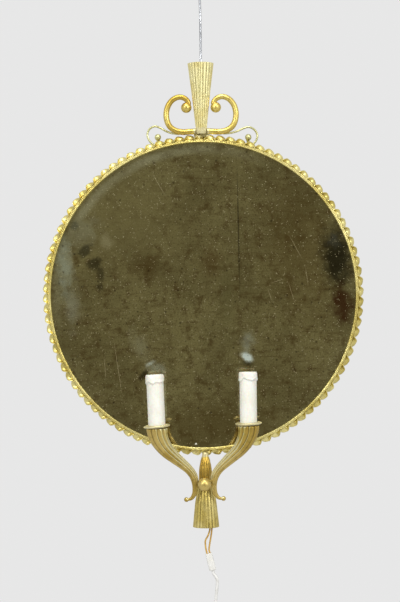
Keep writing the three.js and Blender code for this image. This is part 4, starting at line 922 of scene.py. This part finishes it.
def blend(share, a, b, how="MIX"):
    made = node(tree_of(share, a, b), "Mix", {"data_type": "RGBA", "blend_type": how}, i0=share, i6=a, i7=b)
    return Value(made, 2)


def ramp(value, low, high, to_low=0.0, to_high=1.0):
    """A value's run from low to high as a smooth step between two results."""
    return Value(node(value.tree, "MapRange", {"interpolation_type": "SMOOTHSTEP"}, Value=value, From_Min=low,
                      From_Max=high, To_Min=to_low, To_Max=to_high))


def noise(place, scale, detail=3.0, rough=0.55, distortion=0.0):
    return Value(node(place.tree, "TexNoise", Vector=place, Scale=scale, Detail=detail, Roughness=rough,
                      Distortion=distortion))


def group(name, inputs, outputs):
    """An empty node group from its sockets' names by kind: its tree, a value for each input, and the
    end that takes its outputs."""
    tree = bpy.data.node_groups.new(name, "ShaderNodeTree")
    start, end = tree.nodes.new("NodeGroupInput"), tree.nodes.new("NodeGroupOutput")
    for way, sockets in (("INPUT", inputs), ("OUTPUT", outputs)):
        for kind, words in sockets.items():
            for word in words.split():
                tree.interface.new_socket(name=word, in_out=way, socket_type="NodeSocket" + kind)
    return tree, {word: Value(start, word) for words in inputs.values() for word in words.split()}, end


def finish(name):
    """A new material, its shader and the piece's own coordinates."""
    made = bpy.data.materials.new(name)
    made.use_nodes = True
    nodes = made.node_tree.nodes
    return made, nodes["Principled BSDF"], Value(nodes.new("ShaderNodeTexCoord"), "Object")


# %% The patina group
BROWN_FILTER = (0.66, 0.53, 0.34, 1)
# The pale colour of wear, also used for the painted highlight streak on the horns.
WEAR_AND_HIGHLIGHT_COLOUR = linear(212, 205, 166)
patina, get, patina_end = group(
    "patina",
    {"Color": "Bright Warm Dull Dirt", "Float": "Hollow Tone", "Vector": "Place"},
    {"Color": "Colour", "Float": "Roughness Metal Height"},
)
broad = noise(get["Place"], 24.0, 2.0)
middle = noise(get["Place"], 130.0, 4.0, 0.6)
fine = noise(get["Place"], 900.0, 3.0, 0.6)
colour = blend(ramp(broad, 0.38, 0.62), get["Bright"], get["Warm"])
colour = blend(ramp(middle, 0.48, 0.72, 0.0, 0.6), colour, get["Dull"])
film = ramp(get["Hollow"], 0.42, 1.0) * ramp(middle, 0.3, 0.6, 0.7, 1.0)
pits = ramp(fine, 0.58, 0.76, 0.0, 0.14)
dirt = maths("MAXIMUM", film, pits)
colour = blend(dirt, colour, get["Dirt"])
colour = blend(ramp(get["Tone"], 0.0, 1.0), colour, blend(1.0, colour, BROWN_FILTER, "MULTIPLY"))
# A minus tone blends in the pale colour: wear, and on the horns a painted highlight.
wear_and_highlight = ramp(get["Tone"] * -1.0 + middle, 0.6, 1.3)
feed(patina_end, Colour=blend(wear_and_highlight * 0.8, colour, WEAR_AND_HIGHLIGHT_COLOUR),
     Roughness=ramp(middle, 0.3, 0.7, 0.35, 0.5) + dirt * 0.25,
     Metal=maths("SUBTRACT", 1.0 - dirt * 0.55, wear_and_highlight * 0.4, clamp=True),
     Height=middle * 0.7 + fine * 0.3)


def brass_finish(name, *tones):
    """A brass of four tones, with a fine bump."""
    made, shader, place = finish(name)
    deep, tone = (Value(node(place.tree, "Attribute", {"attribute_name": word}), "Fac")
                  for word in ("hollow", "tone"))
    colours = {word: linear(*rgb) for word, rgb in zip(("Bright", "Warm", "Dull", "Dirt"), tones)}
    coat = node(place.tree, "Group", {"node_tree": patina}, Hollow=deep, Tone=tone, Place=place, **colours)
    bump = node(place.tree, "Bump", Strength=0.1, Distance=0.0005, Height=Value(coat, "Height"))
    feed(shader, Base_Color=Value(coat, "Colour"), Roughness=Value(coat, "Roughness"),
         Metallic=Value(coat, "Metal"), Normal=Value(bump))
    return made


BRASSES = {  # bright, warm, dull and dirt
    "brass": ((228, 216, 148), (204, 187, 108), (164, 156, 96), (84, 72, 36)),
    "pale_brass": ((234, 225, 170), (222, 206, 136), (194, 188, 128), (104, 98, 48)),
    "gold_brass": ((220, 201, 118), (198, 171, 80), (166, 152, 84), (74, 66, 28)),
    "dull_brass": ((220, 219, 174), (194, 189, 134), (168, 172, 130), (98, 94, 58)),
}
finishes = {word: brass_finish(word, *tones) for word, tones in BRASSES.items()}
print(sorted(finishes))

# %% [markdown]
# ## Old glass
# The silvering has aged: it reflects a dark olive world, is dusted with fine specks, clouded on the
# left and eaten away on the right. Each mark sits where it does on the real glass, so a small group
# turns a place, a size and an angle into a soft-edged mask. Some of this colour is painted reflection
# rather than age: a pale band just inside the lip at the upper left, and pale patches with darker
# painted shade just above the candles. Lost silver shines less, so the same masks lower the metal and
# raise the roughness, which on the painted reflections lets their colour show.

# %% The mark group
mark, get, mark_end = group(
    "glass_mark", {"Vector": "Place Centre Size", "Float": "Turn Ragged Soft"}, {"Float": "Mask"})
away = vector("SUBTRACT", get["Place"], get["Centre"])
level = Value(node(mark, "VectorRotate", {"rotation_type": "Y_AXIS"}, Vector=away, Angle=get["Turn"]))
reach = vector("LENGTH", vector("DIVIDE", level, get["Size"]), output="Value")
torn = noise(get["Place"], 55.0, 5.0, 0.65) - 0.5
reach = reach + torn * (get["Ragged"] * 4.0)
feed(mark_end, Mask=ramp(reach, 1.0 - get["Soft"], 1.0, 1.0, 0.0))

# %% The silvering
MIRROR_CENTRE = (203.3, 294.9)


def on_glass(px, py):
    """A place on the glass, in metres, from a pixel of the photograph."""
    dx, dy = px - MIRROR_CENTRE[0], MIRROR_CENTRE[1] - py
    return ((dx - dy * CAMERA_ROLL) * PIXEL, 0.0, (dy + dx * CAMERA_ROLL) * PIXEL)


old_glass, shader, place = finish("aged_mirror")
flat = vector("MULTIPLY", place, (1.0, 0.0, 1.0))
cloud = noise(flat, 9.0, 5.0, 0.6, 0.4)
mottle = noise(flat, 60.0, 5.0, 0.65)
grain = noise(flat, 420.0, 2.0, 0.5)
streak = noise(vector("MULTIPLY", flat, (0.12, 1.0, 1.0)), 190.0, 4.0, 0.65, 0.6)
colour = blend(ramp(cloud, 0.35, 0.68), linear(162, 158, 128), linear(190, 187, 154))
for drawn, low, high, share, tone in ((mottle, 0.46, 0.7, 0.75, (118, 100, 66)),
                                      (grain, 0.48, 0.72, 0.55, (98, 88, 56)),
                                      (streak, 0.5, 0.72, 0.45, (116, 96, 60))):
    colour = blend(ramp(drawn, low, high, 0.0, share), colour, linear(*tone))
out = vector("LENGTH", flat, output="Value")
upper_left = vector("DOT_PRODUCT", flat, (-2.4, 0.0, 2.8), output="Value")
# A pale band just inside the lip, strongest at the upper left, is a painted reflection; it also takes some
# silver away so that its colour shows.
painted_rim_reflection = ramp(out, 0.224, 0.236) * ramp(out, 0.239, 0.247, 1.0, 0.2)
painted_rim_reflection = painted_rim_reflection * ramp(cloud, 0.35, 0.6, 0.3, 1.0) * ramp(upper_left, 0.2, 0.9, 0.02, 0.32)
colour = blend(painted_rim_reflection, colour, linear(176, 184, 162))
silver_loss_and_painted_reflection = painted_rim_reflection * 0.4
rough = ramp(mottle, 0.3, 0.8, 0.05, 0.14)

MARKS = [
    # centre in pixels, half size in pixels, turn, ragged, soft, colour, strength, loss of silver
    ((120, 215), (90, 80), 0.2, 0.3, 0.95, (186, 182, 148), 0.5, 0.0),
    ((215, 425), (90, 40), 0.0, 0.3, 0.95, (124, 110, 72), 0.55, 0.0),
    ((300, 250), (60, 110), 0.1, 0.35, 0.95, (128, 112, 74), 0.5, 0.0),
    ((147, 266), (24, 20), 0.3, 0.4, 0.9, (112, 92, 56), 0.6, 0.0),
    ((212, 262), (16, 22), 0.0, 0.45, 0.9, (116, 90, 52), 0.5, 0.0),
    ((64, 262), (12, 52), 0.08, 0.4, 0.9, (152, 164, 148), 0.6, 0.25),
    ((84, 232), (20, 26), -0.5, 0.4, 0.9, (160, 164, 140), 0.45, 0.1),
    ((106, 241), (10, 11), 0.3, 0.4, 0.9, (186, 182, 146), 0.5, 0.1),
    ((72, 306), (12, 34), 0.0, 0.4, 0.9, (136, 142, 126), 0.4, 0.2),
    ((84, 251), (12, 7), 0.7, 0.6, 0.7, (64, 62, 50), 0.7, 0.0),
    ((94, 263), (10, 8), 0.5, 0.6, 0.7, (60, 57, 46), 0.7, 0.0),
    ((101, 273), (5, 11), 0.1, 0.5, 0.7, (68, 66, 52), 0.6, 0.0),
    ((100, 288), (6, 6), 0.2, 0.5, 0.7, (62, 58, 44), 0.6, 0.0),
    ((74, 226), (5, 7), 0.4, 0.6, 0.7, (76, 80, 74), 0.5, 0.0),
    ((337, 258), (22, 46), 0.08, 0.26, 0.75, (46, 45, 40), 0.88, 0.0),
    ((342, 304), (14, 28), 0.1, 0.4, 0.8, (88, 48, 32), 0.85, 0.0),
    ((334, 240), (9, 12), 0.2, 0.6, 0.95, (120, 126, 124), 0.4, 0.06),
    ((330, 185), (22, 40), -0.5, 0.4, 0.9, (120, 110, 80), 0.35, 0.0),
    # The next seven marks, just above and beside the two candles' tops, are a painted reflection of the
    # candles: pale and bright patches, with darker patches of painted shade at their edge.
    ((156, 368), (17, 8), -0.15, 0.4, 0.9, (150, 160, 148), 0.45, 0.2),
    ((150, 364), (9, 3.4), 0.55, 0.35, 0.85, (172, 186, 182), 0.55, 0.4),
    ((140, 347), (12, 24), 0.45, 0.4, 0.95, (158, 160, 134), 0.4, 0.1),
    ((144, 375), (9, 4.6), 0.9, 0.4, 0.8, (58, 55, 44), 0.8, 0.0),
    ((247, 363), (11, 4.5), -0.1, 0.3, 0.9, (84, 88, 82), 0.6, 0.0),
    ((247, 357.5), (9.5, 5.8), -0.5, 0.25, 0.75, (196, 212, 208), 0.8, 0.6),
    ((247, 343), (10, 17), 0.0, 0.4, 0.9, (152, 162, 150), 0.5, 0.2),
    ((238.5, 232), (1.2, 88), 0.01, 0.08, 0.9, (40, 38, 28), 0.6, 0.0),
    ((226, 305), (12, 60), 0.0, 0.3, 0.95, (150, 150, 118), 0.35, 0.0),
    ((196, 444), (1.6, 1.2), 0.2, 0.1, 0.6, (236, 236, 226), 0.95, 0.9),
]


def with_mark(colour, silver_loss_and_painted_reflection, centre, size, turn, ragged, soft, tone, strength, loss):
    """The glass with one more mark: its colour over what is there, and its loss of silver."""
    mask = Value(node(flat.tree, "Group", {"node_tree": mark}, Place=flat, Centre=centre, Size=size,
                      Turn=turn, Ragged=ragged, Soft=soft))
    return blend(mask * strength, colour, linear(*tone)), maths("MAXIMUM", silver_loss_and_painted_reflection, mask * loss)


for (px, py), (half_width, half_height), *rest in MARKS:
    size = (half_width * PIXEL, 1.0, half_height * PIXEL)
    colour, silver_loss_and_painted_reflection = with_mark(colour, silver_loss_and_painted_reflection, on_glass(px, py), size, *rest)

# %% Dust, foxing and scratches
def dots(scale, channel, power, size):
    """The radius of each cell's dot and the distance from its middle. The radius is a random number
    to a high power, so few dots are large."""
    cell = node(flat.tree, "TexVoronoi", {"feature": "F1"}, Vector=flat, Scale=scale, Randomness=1.0)
    drawn = Value(node(flat.tree, "SeparateColor", Color=Value(cell, "Color")), channel)
    return maths("POWER", drawn, power) * size, Value(cell, "Distance")


radius, distance = dots(520.0, 0, 7.0, 0.46)
speck = maths("LESS_THAN", distance, radius)
colour = blend(speck * 0.6, colour, linear(204, 196, 160))
silver_loss_and_painted_reflection = maths("MAXIMUM", silver_loss_and_painted_reflection, speck * 0.25)
radius, distance = dots(120.0, 1, 8.0, 0.3)
colour = blend(ramp(radius - distance, 0.0, 0.15, 0.0, 0.5), colour, linear(48, 34, 16))
SCRATCH_WIDTH = 0.0006
SCRATCHES = [((287, 231), (305, 264)), ((305, 264), (309, 290)), ((268, 284), (287, 278)),
             ((287, 278), (296, 306)), ((267, 286), (273, 304)), ((112, 330), (124, 408)),
             ((104, 352), (106, 384)), ((150, 170), (168, 200)), ((221, 142.5), (228, 147)),
             ((227, 147), (236, 149.5)), ((223, 145), (231, 149))]
for start, end in SCRATCHES:
    a, b = np.array(on_glass(*start)), np.array(on_glass(*end))
    size = (float(np.linalg.norm(b - a)) / 2, 1.0, SCRATCH_WIDTH)
    turn = math.atan2(b[2] - a[2], b[0] - a[0])
    colour, silver_loss_and_painted_reflection = with_mark(colour, silver_loss_and_painted_reflection, tuple((a + b) / 2), size, turn, 0.02, 0.7, (196, 184, 146),
                             0.5, 0.25)
feed(shader, Base_Color=colour, Roughness=maths("ADD", rough, silver_loss_and_painted_reflection * 0.4, clamp=True),
     Metallic=maths("SUBTRACT", 1.0, silver_loss_and_painted_reflection, clamp=True))
finishes["mirror_glass"] = old_glass
print("marks", len(MARKS), "scratches", len(SCRATCHES))

# %% [markdown]
# ## Steel, board, wax and plastics
# The plain finishes share one recipe: two tones mixed by a stretched or an even noise, a roughness
# that follows the same noise, and a bump. Only the numbers differ: brushed steel has a long grain, the
# board short fibres, the wax soft clouds and a little translucency.

# %% Plain finishes
BUMP_HEIGHT = 0.0003


def two_tone(name, first, second, stretch, scale, roughness, metallic, bump, **extra):
    """Two tones by noise. stretch scales the coordinates, so a small number draws the grain out."""
    made, shader, place = finish(name)
    drawn = vector("MULTIPLY", place, stretch)
    mixed = noise(drawn, scale, 4.0, 0.6) * 0.65 + noise(drawn, scale * 7, 3.0, 0.6) * 0.35
    bump = node(place.tree, "Bump", Strength=bump, Distance=BUMP_HEIGHT, Height=mixed)
    feed(shader, Base_Color=blend(ramp(mixed, 0.36, 0.64), linear(*first), linear(*second)),
         Roughness=ramp(mixed, 0.3, 0.7, *roughness), Metallic=metallic, Normal=Value(bump), **extra)
    return made


PLAIN = {  # two tones, stretch, scale, roughness, metallic, bump
    "steel": ((168, 170, 174), (124, 126, 130), (1, 1, 0.15), 240, (0.22, 0.4), 1.0, 0.2),
    "dark_steel": ((74, 66, 56), (48, 44, 40), (1, 1, 1), 60, (0.4, 0.65), 0.7, 0.2),
    "board": ((112, 82, 56), (82, 58, 38), (1, 1, 0.3), 320, (0.75, 0.95), 0.0, 0.5),
    "candle": ((243, 241, 232), (236, 231, 216), (1, 1, 1), 45, (0.4, 0.55), 0.0, 0.15),
    "porcelain": ((236, 232, 220), (222, 216, 200), (1, 1, 1), 40, (0.2, 0.35), 0.0, 0.05),
    "lead": ((230, 190, 96), (200, 154, 66), (1, 1, 1), 160, (0.28, 0.45), 0.0, 0.15),
    "white_plastic": ((240, 239, 234), (228, 226, 218), (1, 1, 1), 90, (0.3, 0.45), 0.0, 0.1),
    "white_flex": ((244, 243, 240), (230, 228, 222), (1, 1, 1), 120, (0.26, 0.42), 0.0, 0.1),
}
EXTRA = {"candle": {"Subsurface_Weight": 0.12, "Subsurface_Scale": 0.004}, "lead": {"Coat_Weight": 0.3}}
finishes.update({word: two_tone(word, *row, **EXTRA.get(word, {})) for word, row in PLAIN.items()})

# %% Browned pieces, pale wear, and the horns' painted highlight
BROWNED = {"horn": 0.75, "ball_nut": 0.68, "skirt": 0.35, "bud": 0.6, "neck_collar": 0.4,
           "scroll_bar": 0.25, "drip_pan": -0.85}


def tone_of(made):
    """The piece's own browning, less a pale share. That share is wear where the scrolls meet the column's
    foot and grows toward the top of the bud; on a horn it is a painted highlight, a pale streak where
    the surface looks inward, upward and forward."""
    co, look = (np.empty(len(made.data.vertices) * 3) for _ in range(2))
    made.data.vertices.foreach_get("co", co)
    made.data.vertices.foreach_get("normal", look)
    x, z = np.abs(co[0::3]) / MM, co[2::3] / MM
    wear_and_highlight = 0.7 * np.clip((15 - x) / 4, 0, 1) * np.clip((FOOT_Z + 12 - z) / 4, 0, 1) * (z > FOOT_Z - 5)
    if made.name == "bud":
        wear_and_highlight = np.clip((z - BUD_TOP + 3) / 4, 0, 1)
    # On a horn the pale share is a painted highlight, a streak on the faces that look inward, upward and
    # forward.
    if made.name.startswith("horn"):
        inward = -np.sign(co[0::3]) * look[0::3]
        toward = 0.62 * inward + 0.5 * look[2::3] - 0.6 * look[1::3]
        wear_and_highlight = 1.2 * np.clip((toward - 0.72) / 0.18, 0, 1)
    return BROWNED.get(made.name.removesuffix("_left").removesuffix("_right"), 0.0) * (1 - wear_and_highlight) - wear_and_highlight


for made in bpy.data.objects:
    if made.type == "MESH" and made.get("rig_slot", "").endswith("brass"):
        layer = made.data.attributes.new("tone", "FLOAT", "POINT")
        layer.data.foreach_set("value", tone_of(made).astype(np.float32))

# %% Dress every piece
dressed = 0
for made in bpy.data.objects:
    if made.type not in ("MESH", "CURVE"):
        continue
    word = made.get("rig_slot") or slot_of.get(made.get("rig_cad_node", ""))
    if word:
        made.data.materials.clear()
        made.data.materials.append(finishes[word])
        dressed += 1
print("dressed", dressed, "pieces")

# %% [markdown]
# ## Studio
# Two soft lamps stand left and right of the camera, as the twin highlights on the ball nut show, and
# a large one hangs above. The white of the background comes from the world's own colour for camera,
# glossy and transmission rays. The mirror needs something dark to look into, as it has in the
# photograph, so a dark card far behind the camera is seen by glossy rays only.

# %% World and lamps
def lamp(name, place, aim, size, power):
    """A square soft lamp turned to its aim."""
    data = bpy.data.lights.new(name, "AREA")
    data.size, data.energy = size, power
    made = in_scene(name, data)
    made.location = place
    made.rotation_euler = (Vector(aim) - Vector(place)).to_track_quat("-Z", "Y").to_euler()


lamp("lamp_left", (-1.7, -2.3, 1.1), (0, 0, 0), 0.6, 24)
lamp("lamp_right", (1.7, -2.3, 0.9), (0, 0, 0), 0.6, 26)
lamp("lamp_top", (-0.1, -1.3, 2.0), (0, 0, 0), 0.8, 34)


def seen_by(tree, *kinds):
    """1 for rays of these kinds and 0 for the others."""
    rays = tree.nodes.new("ShaderNodeLightPath")
    seen = Value(rays, f"Is {kinds[0]} Ray")
    for kind in kinds[1:]:
        seen = maths("MAXIMUM", seen, Value(rays, f"Is {kind} Ray"))
    return seen


WORLD_LIGHT, WORLD_SHOWN = grey(0.42), grey(0.8)
world = bpy.data.worlds.new("studio_world")
bpy.context.scene.world = world
world.use_nodes = True
shown = seen_by(world.node_tree, "Camera", "Glossy", "Transmission")
feed(world.node_tree.nodes["Background"], Color=blend(shown, WORLD_LIGHT, WORLD_SHOWN))

# %% Floor and dark card
FLOOR_Z, FLOOR_RADIUS = -1.25, 3.0
CARD_DISTANCE, CARD_RADIUS = 6.5, 3.4


def flat_disc(name, centre, radius, upright):
    """A disc of 96 corners, level or facing the mirror, with its paint's shader and coordinates."""
    a = round_angles(96)[0]
    ring = np.column_stack([np.cos(a), 0 * a, np.sin(a)] if upright else [np.cos(a), np.sin(a), 0 * a])
    mesh = bpy.data.meshes.new(name)
    mesh.from_pydata((ring * radius + np.array(centre)).tolist(), [], [tuple(range(96))])
    made = in_scene(name, mesh)
    paint, shader, place = finish(name + "_paint")
    mesh.materials.append(paint)
    return made, shader, place


_, shader, place = flat_disc("floor", (0, 0, FLOOR_Z), FLOOR_RADIUS, False)
feed(shader, Base_Color=grey(0.74), Roughness=0.9, Emission_Strength=1.0,
     Emission_Color=blend(seen_by(place.tree, "Camera", "Glossy"), grey(0.0), grey(0.16)))
card, shader, place = flat_disc("dark_card", (0, -CARD_DISTANCE, 0), CARD_RADIUS, True)
feed(shader, Base_Color=grey(0.0), Emission_Color=linear(132, 124, 92), Emission_Strength=1.0)
card.visible_camera = card.visible_diffuse = card.visible_shadow = card.visible_transmission = False

bpy.context.scene.view_settings.view_transform = "Standard"
